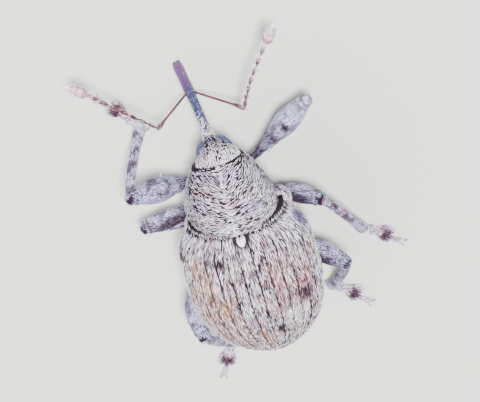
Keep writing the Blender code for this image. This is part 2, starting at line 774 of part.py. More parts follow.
def build_head_group(materials):
    head = build_head(materials["scales"])
    combine(head, [build_eye("socket", side, None, SEAM) for side in (1, -1)], "DIFFERENCE")
    build_eye("eye_left", 1, materials["eye"])
    build_eye("eye_right", -1, materials["eye"])
    build_snout(materials["snout"])
    for word, plan in ANTENNAE.items():
        build_antenna(f"antenna_{word}", plan, materials)


def build_legs(materials):
    for name, plan in STANCE.items():
        joints = leg_joints(plan)
        build_coxa(f"{name}_coxa", plan["pair"], plan["side"], materials["leg"])
        build_femur(f"{name}_femur", plan, joints, materials["leg"])
        build_tibia(f"{name}_tibia", plan, joints, materials["leg"])
        build_foot(f"{name}_foot", plan, joints, materials["foot"])


def main():
    clear_scene()
    materials = {
        "scales": make_material("grey_scales", (0.62, 0.58, 0.56), 0.75),
        "belly": make_material("belly_scales", (0.66, 0.63, 0.60), 0.8),
        "white": make_material("white_scales", (0.90, 0.90, 0.92), 0.7),
        "eye": make_material("eye", (0.10, 0.10, 0.17), 0.25),
        "snout": make_material("dark_chitin", (0.16, 0.13, 0.22), 0.35),
        "antenna": make_material("red_brown_chitin", (0.36, 0.20, 0.19), 0.45),
        "club": make_material("hairy_club", (0.70, 0.52, 0.60), 0.7),
        "leg": make_material("leg_scales", (0.55, 0.53, 0.60), 0.75),
        "foot": make_material("foot_scales", (0.50, 0.46, 0.50), 0.7),
    }
    build_trunk(materials)
    build_head_group(materials)
    build_legs(materials)


main()
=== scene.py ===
"""A hazelnut weevil at life size: the looks that dress its solids."""

import math

import bmesh
import bpy
from mathutils import Matrix, Vector, noise


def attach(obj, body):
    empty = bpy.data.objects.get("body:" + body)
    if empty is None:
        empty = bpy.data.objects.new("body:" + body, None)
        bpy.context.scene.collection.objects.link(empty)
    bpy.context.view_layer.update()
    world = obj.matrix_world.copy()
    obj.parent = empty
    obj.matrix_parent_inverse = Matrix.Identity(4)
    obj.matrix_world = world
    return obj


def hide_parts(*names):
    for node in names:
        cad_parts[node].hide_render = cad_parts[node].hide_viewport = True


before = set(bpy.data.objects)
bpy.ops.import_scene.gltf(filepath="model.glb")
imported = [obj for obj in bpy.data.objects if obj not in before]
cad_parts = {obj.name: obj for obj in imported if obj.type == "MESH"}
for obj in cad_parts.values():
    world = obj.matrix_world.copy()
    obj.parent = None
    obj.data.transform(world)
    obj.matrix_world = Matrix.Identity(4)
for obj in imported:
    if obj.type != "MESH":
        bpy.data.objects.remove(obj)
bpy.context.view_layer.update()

# Viewpoint. The model is seen from above and a little in front, with its head at the top of the picture.
# Every place below is in millimetres from the scutellum's base, at floor level; the frame's origin is the
# middle of the footprint.
FOOTPRINT_MIDDLE = Vector((-0.54, 0.652, 0.0))
TO_FRAME = Matrix.Scale(0.001, 4) @ Matrix.Translation(-FOOTPRINT_MIDDLE)
TILT, SIDE_STEP, ROLL = math.radians(28), math.radians(4), math.radians(16)
VIEW_DISTANCE = 110.0
PIXELS_PER_MM = 33.4
AIM, AIM_PIXEL = Vector((0.0, 0.15, 3.85)), (241, 240)
PICTURE = (480, 402)

backwards = Vector(
    (
        -math.sin(SIDE_STEP),
        -math.sin(TILT) * math.cos(SIDE_STEP),
        math.cos(TILT) * math.cos(SIDE_STEP),
    )
)
ahead = Vector((0, -1, 0))
ahead = (ahead - backwards * ahead.dot(backwards)).normalized()
aside = ahead.cross(backwards)
picture_up = ahead * math.cos(ROLL) + aside * math.sin(ROLL)
picture_right = aside * math.cos(ROLL) - ahead * math.sin(ROLL)
eye_place = AIM + backwards * VIEW_DISTANCE
eye_place -= picture_right * ((AIM_PIXEL[0] - PICTURE[0] / 2) / PIXELS_PER_MM)
eye_place -= picture_up * ((PICTURE[1] / 2 - AIM_PIXEL[1]) / PIXELS_PER_MM)
camera_data = bpy.data.cameras.new("viewpoint")
camera_data.sensor_width = 36.0
camera_data.lens = PIXELS_PER_MM * VIEW_DISTANCE * camera_data.sensor_width / PICTURE[0]
camera_data.clip_start = 0.001
camera = bpy.data.objects.new("viewpoint", camera_data)
bpy.context.scene.collection.objects.link(camera)
camera.matrix_world = Matrix.Translation(TO_FRAME @ eye_place) @ Matrix(
    (picture_right, picture_up, backwards)
).transposed().to_4x4()
bpy.context.scene.camera = camera


# Prothorax. One ring of dark chitin, narrower in front, covered with flat pale hair-scales that run in
# waves to the middle line of its back. It is hinged to the hind body by a thin dark seam.
PRONOTUM_LENGTH = 2.20
SEAM = 0.08
COAT_DEPTH = 0.02
PROTHORAX = (
    (-2.20, 0.80, 3.34, 1.76, 0.13),
    (-1.95, 0.93, 3.47, 1.62, 0.13),
    (-1.50, 1.155, 3.70, 1.43, 0.13),
    (-1.00, 1.32, 3.88, 1.30, 0.12),
    (-0.50, 1.40, 3.97, 1.24, 0.08),
    (-0.15, 1.38, 3.95, 1.24, 0.03),
    (0.00, 1.31, 3.88, 1.26, 0.01),
)
FRONT_TURN = math.radians(3)
BASE_RAKE, FRONT_RAKE = 0.42, 0.20
RAKE_REACH = 1.4
# What a skin's points tell its scales and its colour, with the usual value of each.
LAYERS = {"cover": 1.0, "size": 1.0, "ochre": 0.0, "rust": 0.0, "dark": 0.0, "white": 0.0, "blue": 0.0}


def smooth_value(stations, at):
    """The stations' columns at one place, on a smooth curve through them."""
    places = [row[0] for row in stations]
    at = min(max(at, places[0]), places[-1])
    i = max(k for k in range(len(places) - 1) if places[k] <= at)
    span = places[i + 1] - places[i]
    t = (at - places[i]) / span
    found = []
    for column in range(1, len(stations[0])):
        here, there = stations[i][column], stations[i + 1][column]
        slopes = []
        for k in (i, i + 1):
            low, high = max(k - 1, 0), min(k + 1, len(places) - 1)
            slopes.append((stations[high][column] - stations[low][column]) / (places[high] - places[low]))
        value = (2 * t**3 - 3 * t**2 + 1) * here + (3 * t**2 - 2 * t**3) * there
        value += ((t**3 - 2 * t**2 + t) * slopes[0] + (t**3 - t**2) * slopes[1]) * span
        found.append(value)
    return found


def fade(value, low, high):
    """0 below low, 1 above high and a soft step between; low may be the larger."""
    t = min(max((value - low) / (high - low), 0.0), 1.0)
    return t * t * (3 - 2 * t)


def make_skin(name, rows, dress, material, depth=COAT_DEPTH):
    """A closed skin through rows of points. dress(v, u, point, onward) gives the way its scales lie and its
    layers at the share v along and u around; depth is how far it is drawn in to leave room for the scales."""
    count, columns = len(rows), len(rows[0])
    points = [Vector(p) for row in rows for p in row]
    faces, spots = [], []
    for k in range(count - 1):
        for j in range(columns):
            n = (j + 1) % columns
            here, there = k * columns, (k + 1) * columns
            faces.append((here + j, here + n, there + n, there + j))
            spots.append([(j, k), (j + 1, k), (j + 1, k + 1), (j, k + 1)])
    for end in (0, count - 1):
        pole = len(points)
        points.append(sum((Vector(p) for p in rows[end]), Vector()) / columns)
        for j in range(columns):
            faces.append((end * columns + j, end * columns + (j + 1) % columns, pole))
            spots.append([(j, end), (j + 1, end), (j + 0.5, end)])
    mesh = bpy.data.meshes.new(name)
    mesh.from_pydata(points, [], faces)
    uv = mesh.uv_layers.new(name="UVMap")
    corners = [corner for face in spots for corner in face]
    uv.uv.foreach_set("vector", [x for j, k in corners for x in (j / columns, k / (count - 1))])
    values = {layer: [] for layer in LAYERS}
    lies = []
    for index, point in enumerate(points):
        if index < count * columns:
            k, j = divmod(index, columns)
            onward = Vector(rows[min(k + 1, count - 1)][j]) - Vector(rows[max(k - 1, 0)][j])
            lie, layers = dress(k / (count - 1), j / columns, point, onward.normalized())
        else:
            lie, layers = Vector((0, 1, 0)), {"cover": 0.0}
        lies.extend(lie)
        for layer, usual in LAYERS.items():
            values[layer].append(layers.get(layer, usual))
    mesh.attributes.new("lie", "FLOAT_VECTOR", "POINT").data.foreach_set("vector", lies)
    for layer in LAYERS:
        mesh.attributes.new(layer, "FLOAT", "POINT").data.foreach_set("value", values[layer])
    work = bmesh.new()
    work.from_mesh(mesh)
    bmesh.ops.recalc_face_normals(work, faces=work.faces)
    work.normal_update()
    for vert in work.verts:
        vert.co -= vert.normal * depth
    work.to_mesh(mesh)
    work.free()
    mesh.shade_smooth()
    mesh.materials.append(material)
    obj = bpy.data.objects.new(name, mesh)
    bpy.context.scene.collection.objects.link(obj)
    return obj


def open_pin(pins, name):
    """The socket in use of that name."""
    return next(pin for pin in pins if pin.name == name and pin.enabled)


def feed(tree, pin, value):
    """Sets a pin to a value, or links it where the value is another node's socket."""
    if isinstance(value, bpy.types.NodeSocket):
        tree.links.new(value, pin)
    else:
        pin.default_value = value


def add_node(tree, kind, settings=None, **values):
    """A node with its settings and the values that its pins of these names are fed."""
    node = tree.nodes.new(kind)
    for key, value in (settings or {}).items():
        setattr(node, key, value)
    for key, value in values.items():
        name = key.replace("_", " ")
        feed(tree, next(p for p in node.inputs if p.enabled and p.name.lower() == name.lower()), value)
    return node


def vector_step(tree, operation, *values):
    node = add_node(tree, "ShaderNodeVectorMath", {"operation": operation})
    for pin, value in zip([p for p in node.inputs if p.enabled], values):
        feed(tree, pin, value)
    return node.outputs["Vector"]


def product(tree, first, second):
    node = add_node(tree, "ShaderNodeMath", {"operation": "MULTIPLY"})
    feed(tree, node.inputs[0], first)
    feed(tree, node.inputs[1], second)
    return node.outputs["Value"]


def layer_of(tree, name, kind="FLOAT"):
    node = add_node(tree, "GeometryNodeInputNamedAttribute", {"data_type": kind}, name=name)
    return open_pin(node.outputs, "Attribute")


def random_between(tree, low, high, seed, kind="FLOAT"):
    node = add_node(tree, "FunctionNodeRandomValue", {"data_type": kind}, min=low, max=high, seed=seed)
    return open_pin(node.outputs, "Value")


BAKE_PATCH = 0.003


def build_coat_tree():
    """Scatters one scale shape over a skin, along its lie, each with a place of its own on the bake map."""
    tree = bpy.data.node_groups.new("scale_coat", "GeometryNodeTree")
    sockets = (
        ("Geometry", "NodeSocketGeometry"),
        ("Scale shape", "NodeSocketObject"),
        ("Density", "NodeSocketFloat"),
        ("Closest", "NodeSocketFloat"),
        ("Length", "NodeSocketFloat"),
        ("Width", "NodeSocketFloat"),
        ("Lift", "NodeSocketFloat"),
        ("Wander", "NodeSocketFloat"),
        ("Seed", "NodeSocketInt"),
        ("Material", "NodeSocketMaterial"),
    )
    for label, kind in sockets:
        tree.interface.new_socket(label, in_out="INPUT", socket_type=kind)
    tree.interface.new_socket("Geometry", in_out="OUTPUT", socket_type="NodeSocketGeometry")
    given = tree.nodes.new("NodeGroupInput").outputs
    scatter = add_node(
        tree,
        "GeometryNodeDistributePointsOnFaces",
        {"distribute_method": "POISSON"},
        mesh=given["Geometry"],
        distance_min=given["Closest"],
        density_max=given["Density"],
        density_factor=layer_of(tree, "cover"),
        seed=given["Seed"],
    )
    shaded = add_node(
        tree, "GeometryNodeStoreNamedAttribute", {"data_type": "FLOAT", "domain": "POINT"},
        geometry=scatter.outputs["Points"], name="shade", value=random_between(tree, 0.0, 1.0, 11),
    )
    drift = random_between(tree, (-1.0, -1.0, -1.0), (1.0, 1.0, 1.0), 12, "FLOAT_VECTOR")
    drift = vector_step(tree, "SCALE", drift, given["Wander"])
    way = vector_step(tree, "ADD", layer_of(tree, "lie", "FLOAT_VECTOR"), drift)
    turned = add_node(
        tree, "FunctionNodeAxesToRotation", {"primary_axis": "Z", "secondary_axis": "Y"},
        primary_axis=scatter.outputs["Normal"], secondary_axis=way,
    )
    lift = product(tree, given["Lift"], random_between(tree, 0.5, 1.5, 13))
    tip = add_node(tree, "ShaderNodeCombineXYZ", x=lift)
    tipped = add_node(tree, "FunctionNodeEulerToRotation", euler=tip.outputs["Vector"])
    turn = add_node(
        tree, "FunctionNodeRotateRotation", {"rotation_space": "LOCAL"},
        rotation=turned.outputs["Rotation"], rotate_by=tipped.outputs["Rotation"],
    )
    sizes = add_node(tree, "ShaderNodeCombineXYZ", x=given["Width"], y=given["Length"], z=given["Width"])
    growth = product(tree, layer_of(tree, "size"), random_between(tree, 0.8, 1.2, 14))
    grown = vector_step(tree, "SCALE", sizes.outputs["Vector"], growth)
    shape = add_node(tree, "GeometryNodeObjectInfo", object=given["Scale shape"])
    spread = add_node(
        tree, "GeometryNodeInstanceOnPoints", points=shaded.outputs["Geometry"],
        instance=shape.outputs["Geometry"], rotation=turn.outputs["Rotation"], scale=grown,
    )
    real = add_node(tree, "GeometryNodeRealizeInstances", geometry=spread.outputs["Instances"])
    spot, skin_place = layer_of(tree, "spot", "FLOAT_VECTOR"), layer_of(tree, "UVMap", "FLOAT_VECTOR")
    bake_place = vector_step(tree, "MULTIPLY_ADD", spot, (BAKE_PATCH, BAKE_PATCH, 0.0), skin_place)
    mapped = add_node(
        tree, "GeometryNodeStoreNamedAttribute", {"data_type": "FLOAT2", "domain": "CORNER"},
        geometry=real.outputs["Geometry"], name="OFBake", value=bake_place,
    )
    painted = add_node(
        tree, "GeometryNodeSetMaterial", geometry=mapped.outputs["Geometry"], material=given["Material"]
    )
    end = tree.nodes.new("NodeGroupOutput")
    tree.links.new(painted.outputs["Geometry"], end.inputs["Geometry"])
    return tree


def build_scale_shape():
    """One scale, a unit long and wide: a thin keeled spindle with its root at the origin."""
    stations = ((0.22, 0.42, 0.16, 0.0), (0.62, 0.40, 0.18, -0.02))
    points = [(0.0, 0.0, -0.05)]
    for y, half, keel, drop in stations:
        points += [(-half, y, drop), (half, y, drop), (0.0, y, drop + keel)]
    points.append((0.0, 1.0, -0.06))
    faces = [(0, 1, 3), (0, 3, 2), (0, 2, 1)]
    for a, b in ((0, 2), (2, 1), (1, 0)):
        faces.append((1 + a, 4 + a, 4 + b, 1 + b))
    faces += [(4, 7, 6), (6, 7, 5), (5, 7, 4)]
    mesh = bpy.data.meshes.new("scale_shape")
    mesh.from_pydata(points, [], faces)
    spots = [x for p in points for x in (p[0], p[1] - 0.5, 0.0)]
    mesh.attributes.new("spot", "FLOAT_VECTOR", "POINT").data.foreach_set("vector", spots)
    mesh.attributes.new("along", "FLOAT", "POINT").data.foreach_set("value", [p[1] for p in points])
    work = bmesh.new()
    work.from_mesh(mesh)
    bmesh.ops.recalc_face_normals(work, faces=work.faces)
    work.to_mesh(mesh)
    work.free()
    obj = bpy.data.objects.new("scale_shape", mesh)
    bpy.context.scene.collection.objects.link(obj)
    return obj


coat_tree = build_coat_tree()
scale_shape = build_scale_shape()


def make_coat(name, skin, material, **sizes):
    """The scales of one skin as a plain mesh. sizes are the coat tree's inputs; density counts the scales in
    a square millimetre."""
    obj = bpy.data.objects.new(name, skin.data)
    bpy.context.scene.collection.objects.link(obj)
    modifier = obj.modifiers.new("coat", "NODES")
    modifier.node_group = coat_tree
    given = {"Scale shape": scale_shape, "Material": material}
    given.update({key.replace("_", " ").capitalize(): value for key, value in sizes.items()})
    for item in coat_tree.interface.items_tree:
        if item.in_out == "INPUT" and item.name in given:
            modifier[item.identifier] = given[item.name]
    graph = bpy.context.evaluated_depsgraph_get()
    made = bpy.data.meshes.new_from_object(obj.evaluated_get(graph))
    obj.modifiers.clear()
    obj.data = made
    made.name = name
    return obj


def settle(obj, *nodes):
    """Brings a piece from millimetres to the frame, on the root body and in place of these solids."""
    obj.data.transform(TO_FRAME)
    for layer in ("lie", "cover", "size", "spot"):
        if layer in obj.data.attributes:
            obj.data.attributes.remove(obj.data.attributes[layer])
    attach(obj, "root")
    if nodes:
        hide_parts(*nodes)


def settle_coated(skin, node, name, material, **sizes):
    """Grows a coat over a skin and settles both; node is the solid that the skin replaces, or None."""
    coat = make_coat(name, skin, material, **sizes)
    settle(skin, *([node] if node else []))
    settle(coat)


def new_material(name, roughness, specular=0.5):
    material = bpy.data.materials.new(name)
    material.use_nodes = True
    shader = material.node_tree.nodes["Principled BSDF"]
    shader.inputs["Roughness"].default_value = roughness
    shader.inputs["Specular IOR Level"].default_value = specular
    return material, material.node_tree, shader


def mixed(tree, share, first, second):
    """A colour between two: each a colour or a socket, by a share that is a number or a socket."""
    node = add_node(tree, "ShaderNodeMix", {"data_type": "RGBA"})
    for pin, value in ((node.inputs[0], share), (node.inputs[6], first), (node.inputs[7], second)):
        feed(tree, pin, (*value, 1.0) if isinstance(value, tuple) else value)
    return node.outputs[2]


def reading(tree, name):
    return add_node(tree, "ShaderNodeAttribute", {"attribute_name": name}).outputs["Fac"]


def stepped(tree, value, low, high, start=0.0, end=1.0):
    """value brought from low..high to start..end, held at both ends."""
    ends = {"from_min": low, "from_max": high, "to_min": start, "to_max": end}
    return add_node(tree, "ShaderNodeMapRange", value=value, **ends).outputs["Result"]


# Each marking's tone and the most that it covers, on the scales and on the chitin under them.
SCALE_TONES = (
    ("ochre", (0.39, 0.225, 0.080), 0.95),
    ("rust", (0.20, 0.070, 0.085), 0.95),
    ("white", (0.95, 0.94, 0.97), 0.9),
    ("blue", (0.20, 0.18, 0.34), 0.85),
    ("dark", (0.034, 0.012, 0.024), 0.97),
)
CHITIN_TONES = (
    ("ochre", (0.20, 0.10, 0.07), 0.8),
    ("rust", (0.09, 0.02, 0.03), 0.8),
    ("white", (0.30, 0.29, 0.33), 0.3),
    ("blue", (0.07, 0.062, 0.135), 0.95),
    ("dark", (0.012, 0.006, 0.011), 1.0),
)


def marked(tree, colour, tones, shade=None):
    """The colour under its markings; the palest scales take little of the two warm tones."""
    for layer, tone, most in tones:
        share = stepped(tree, reading(tree, layer), 0.0, 1.0, 0.0, most)
        if shade is not None and layer in ("ochre", "rust"):
            share = product(tree, share, stepped(tree, shade, 0.55, 0.80, 1.0, 0.15))
        colour = mixed(tree, share, colour, tone)
    return colour


def scale_material(name, pale, shadow, roughness=0.55):
    """Flat hair-scales: each has its own tone, a root darkened as painted shade under the scales that lie
    over it, and the markings of where it grows.
    """
    material, tree, shader = new_material(name, roughness, 0.25)
    shade = reading(tree, "shade")
    colour = marked(tree, mixed(tree, shade, shadow, pale), SCALE_TONES, shade)
    # Painted shade: each scale darkens towards its root, where it lies under its neighbours.
    painted_root_shade = stepped(tree, reading(tree, "along"), 0.6, 0.1, 0.0, 0.8)
    tree.links.new(mixed(tree, painted_root_shade, colour, (0.05, 0.04, 0.06)), shader.inputs["Base Color"])
    return material


def texture(tree, kind, scale):
    """A procedural texture over the piece's own coordinates."""
    place = tree.nodes.new("ShaderNodeTexCoord").outputs["Object"]
    return add_node(tree, kind, vector=place, scale=scale)


def dent(tree, shader, height, strength, distance, invert=False):
    """Fine dents on a surface: distance is their depth in metres."""
    settings = {"invert": invert}
    bump = add_node(tree, "ShaderNodeBump", settings, strength=strength, distance=distance, height=height)
    tree.links.new(bump.outputs["Normal"], shader.inputs["Normal"])


def chitin_material(name, base, roughness=0.45, grain=0.02):
    """Hard dark chitin between the scales, finely dented, with the coat's markings showing faintly."""
    material, tree, shader = new_material(name, roughness, 0.05)
    dents = texture(tree, "ShaderNodeTexVoronoi", 1000.0 / grain / 2.2)
    mottle = texture(tree, "ShaderNodeTexNoise", 1400.0)
    lighter = tuple(c * 1.9 for c in base)
    colour = mixed(tree, stepped(tree, mottle.outputs["Fac"], 0.35, 0.7), base, lighter)
    tree.links.new(marked(tree, colour, CHITIN_TONES), shader.inputs["Base Color"])
    dent(tree, shader, dents.outputs["Distance"], 0.4, grain * 0.0003)
    return material


trunk_chitin = chitin_material("trunk_chitin", (0.004, 0.003, 0.005), 0.6)
pronotum_scales = scale_material("pronotum_scales", (0.92, 0.85, 0.99), (0.36, 0.30, 0.42))


def raked(z):
    """How far the joint between prothorax and hind body leans forward at this height."""
    return BASE_RAKE * (PROTHORAX[-1][2] - z) / (PROTHORAX[-1][2] - PROTHORAX[-1][3])


def prothorax_rows(sides, steps):
    rows = []
    for k in range(steps + 1):
        share = k / steps
        place = -PRONOTUM_LENGTH * (1 - 0.35 * share - 0.65 * math.sin(share * math.pi / 2))
        half, top, bottom, shift = smooth_value(PROTHORAX, place)
        middle, tall = (top + bottom) / 2, (top - bottom) / 2
        near_base = max(0.0, 1 + place / RAKE_REACH) ** 2
        near_front = (max(0.0, -0.3 - place) / (PRONOTUM_LENGTH - 0.3)) ** 1.3
        turn = math.sin(FRONT_TURN) * fade(place, 0.0, -1.2)
        row = []
        for j in range(sides):
            angle = math.tau * j / sides
            x, z = half * math.cos(angle), middle + tall * math.sin(angle)
            slope = FRONT_RAKE * (PROTHORAX[0][2] - z) * near_front
            row.append(Vector((x + shift, place + x * turn + slope - raked(z) * near_base, z)))
        rows.append(row)
    return rows


CREST = 0.10
# How far back the scales of the back point, by the distance from the base.
BACKWARD = (
    (-2.2, 0.0), (-2.0, 0.45), (-1.7, 0.60), (-1.3, 0.42), (-0.9, 0.20), (-0.5, 0.0), (-0.2, -0.12),
    (0.0, 0.0),
)


# One fixed seed, so that the ripples are the same in each run.
noise.seed_set(4)


def waves(point, *sizes):
    """A smooth wandering direction: sizes are pairs of ripples in a millimetre and strength."""
    way = Vector()
    for ripples, strength in sizes:
        way += noise.noise_vector(point * ripples) * strength
    return way


def blot(x, y, middle_x, middle_y, half_x, half_y):
    """1 in the middle of an oval, fading to 0 at its edge."""
    return fade(math.hypot((x - middle_x) / half_x, (y - middle_y) / half_y), 1.0, 0.35)


def dress_prothorax(v, u, point, onward):
    angle = math.tau * u
    beside = point.x - CREST
    upward = Vector((-math.sin(angle), 0.0, math.cos(angle)))
    inward = upward * math.copysign(0.3 + 0.7 * fade(abs(beside), 0.0, 0.10), beside)
    lie = inward + Vector((0, smooth_value(BACKWARD, point.y)[0], 0))
    lie = lie.lerp(onward, fade(point.z, 2.1, 1.6))
    lie += waves(point, (1.3, 0.30), (3.2, 0.60), (7.0, 0.55)) * fade(v, 0.0, 0.08)
    rough = noise.noise(point * 3.1)
    patchy = min(1.0, 0.92 + 0.25 * noise.noise(point * 4.0))
    layers = {
        "cover": fade(v, 0.0, 0.002) * fade(v, 0.99, 0.965) * patchy,
        "dark": 0.8 * blot(point.x, point.y, 0.31, -1.83, 0.14, 0.11) + 0.22 * fade(rough, 0.15, 0.6),
        "blue": 0.45 * blot(point.x, point.y, -0.75, -0.83, 0.26, 0.20),
        "rust": 0.20 * fade(noise.noise(point * 1.3 + Vector((5, 0, 0))), -0.1, 0.5),
        # white: the first term whitens the upper part of the animal's right side, painted light as if lit
        # from that side; the second whitens the scales towards the base.
        "white": 0.7 * fade(-point.x, 0.4, 1.2) * fade(point.z, 2.4, 3.2) + 0.3 * fade(point.y, -0.5, -0.1),
    }
    return lie, layers


prothorax = make_skin("prothorax_skin", prothorax_rows(144, 84), dress_prothorax, trunk_chitin)
settle_coated(
    prothorax, "prothorax", "prothorax_scales", pronotum_scales,
    density=470.0, closest=0.039, length=0.165, width=0.021, lift=0.13, wander=0.08, seed=3,
)


# Wing cases. Two hard shells of chitin that meet along the middle of the back, each with ten fine pitted
# grooves; the ribs between the grooves carry rows of pale scales, with tan, rust and dark patches.
ELYTRA_LENGTH = 5.3
SHELL = 0.5
STRIAE = 10
STRIA_DEPTH = 0.04
PIT_STEP = 0.17
# The least share of the outside that is hollow, and how far the side folds on past its widest line, as a
# share of a quarter turn.
LEAST_HOLLOW = 0.38
FOLD = 0.22
HIND_BODY = (
    (0.00, 1.50, 3.80, 2.75, 2.30, 1.28),
    (0.25, 1.80, 3.93, 2.75, 2.26, 1.20),
    (0.60, 2.00, 4.05, 2.74, 2.22, 1.15),
    (1.40, 2.07, 4.20, 2.70, 2.18, 1.13),
    (2.20, 2.08, 4.15, 2.60, 2.12, 1.22),
    (3.10, 1.97, 3.85, 2.45, 1.99, 1.40),
    (3.90, 1.71, 3.32, 2.28, 1.87, 1.48),
    (4.60, 1.24, 2.70, 2.08, 1.76, 1.52),
    (5.05, 0.74, 2.19, 1.92, 1.67, 1.54),
    (5.30, 0.27, 1.85, 1.79, 1.62, 1.56),
)
SUTURE = 0.015
# Markings by layer: how far behind the base, the share of the way from seam to margin (minus on the right
# case), half length, half share and strength.
MARKINGS = (
    ("dark", 0.58, 0.66, 0.28, 0.105, 1.00),
    ("bare", 0.58, 0.66, 0.24, 0.090, 1.00),
    ("dark", 0.68, 0.215, 0.23, 0.074, 1.00),
    ("bare", 0.68, 0.215, 0.19, 0.061, 1.00),
    ("dark", 0.63, 0.34, 0.14, 0.047, 1.00),
    ("rust", 0.95, 0.33, 0.18, 0.039, 0.96),
    ("ochre", 0.95, 0.47, 0.60, 0.130, 0.94),
    ("ochre", 1.55, 0.37, 0.75, 0.150, 1.00),
    ("ochre", 2.30, 0.27, 0.70, 0.110, 1.00),
    ("ochre", 2.90, 0.20, 0.55, 0.080, 0.88),
    ("ochre", 3.10, 0.45, 1.20, 0.200, 0.69),
    ("ochre", 4.10, 0.30, 0.70, 0.180, 0.75),
    ("ochre", 2.20, 0.45, 1.50, 0.320, 0.75),
    ("ochre", 3.50, 0.30, 1.30, 0.300, 0.65),
    ("ochre", 1.80, -0.35, 1.30, 0.280, 0.50),
    ("rust", 2.00, -0.30, 1.10, 0.300, 0.35),
    ("ochre", 1.00, 0.08, 0.70, 0.060, 0.38),
    ("rust", 1.75, 0.31, 0.44, 0.031, 0.84),
    ("rust", 2.69, 0.215, 0.19, 0.039, 1.00),
    ("dark", 1.61, -0.09, 0.14, 0.038, 1.00),
    ("rust", 1.20, -0.25, 0.60, 0.150, 0.60),
    ("ochre", 1.50, -0.22, 0.75, 0.160, 0.75),
    ("rust", 2.05, -0.19, 0.65, 0.120, 0.85),
    ("rust", 2.50, -0.18, 0.40, 0.085, 0.85),
    ("rust", 2.30, -0.41, 0.75, 0.140, 0.95),
    ("dark", 2.52, -0.42, 0.42, 0.085, 1.00),
    ("dark", 2.33, -0.34, 0.26, 0.055, 1.00),
    ("dark", 3.58, -0.13, 0.42, 0.060, 1.00),
    ("bare", 3.58, -0.13, 0.34, 0.045, 1.00),
    ("dark", 3.91, -0.14, 0.11, 0.027, 1.00),
    ("ochre", 3.90, 0.03, 0.85, 0.070, 1.00),
    ("ochre", 4.00, -0.03, 0.60, 0.045, 1.00),
    ("ochre", 4.35, 0.02, 0.80, 0.100, 1.00),
    ("blue", 0.32, -0.71, 0.34, 0.110, 1.00),
    ("bare", 0.32, -0.71, 0.28, 0.092, 0.85),
    ("white", 3.20, -0.30, 0.85, 0.180, 0.80),
    ("white", 1.60, -0.30, 0.22, 0.045, 0.90),
    ("white", 0.50, 0.10, 0.55, 0.250, 0.35),
    ("white", 0.60, -0.55, 0.90, 0.300, 0.45),
    ("white", 2.00, -0.75, 1.50, 0.220, 0.60),
)


def lean(place, z):
    """How far back a point lies whose ring starts at this place."""
    return place - raked(z) * max(0.0, 1 - place / RAKE_REACH) ** 2


def groove(share, place):
    """Depth of a groove, with its row of pits, at this share of the way from seam to margin."""
    off = abs(share * STRIAE % 1.0 - 0.5)
    pit = 0.8 + 0.3 * math.cos(math.tau * place / PIT_STEP)
    return STRIA_DEPTH * pit * fade(off, 0.13, 0.03)


RIB_STEPS = (0.0, 0.16, 0.30, 0.38, 0.44, 0.48, 0.52, 0.56, 0.62, 0.70, 0.84)
ACROSS = [(stria + step) / STRIAE for stria in range(STRIAE) for step in RIB_STEPS] + [1.0]
INSIDE_STEPS = 10
CASE_START = -0.12


def wing_case_rows(side):
    places = [CASE_START + (0.3 - CASE_START) * k / 10 for k in range(10)]
    steps = 130
    for k in range(steps + 1):
        share = k / steps
        places.append(0.30 + (ELYTRA_LENGTH - 0.30) * (0.4 * share + 0.6 * math.sin(share * math.pi / 2)))
    rows = []
    for place in places:
        half, top, waist, margin, _ = smooth_value(HIND_BODY, place)
        half -= SUTURE / 2
        inner_half = max(half - SHELL, LEAST_HOLLOW * half)
        inner_rise = max(top - waist - SHELL, LEAST_HOLLOW * (top - waist))
        ring = []
        for share in ACROSS:
            angle = share * (1 + FOLD) * math.pi / 2
            lift = 1 - groove(share, place) / half
            if angle <= math.pi / 2:
                x, z = half * math.sin(angle) * lift, waist + (top - waist) * math.cos(angle) * lift
            else:
                down = (angle - math.pi / 2) / (FOLD * math.pi / 2)
                x, z = half * (1 - 0.10 * down * down) * lift, waist + (margin - waist) * down
            ring.append((x, z))
        ring.append((inner_half * 0.95, margin))
        for k in range(INSIDE_STEPS + 1):
            angle = (1 - k / INSIDE_STEPS) * math.pi / 2
            ring.append((inner_half * math.sin(angle), waist + inner_rise * math.cos(angle)))
        rows.append([Vector((side * (x + SUTURE / 2), lean(place, z), z)) for x, z in ring])
    return rows, places


elytra_scales = scale_material("elytra_scales", (0.92, 0.86, 0.99), (0.36, 0.30, 0.38))


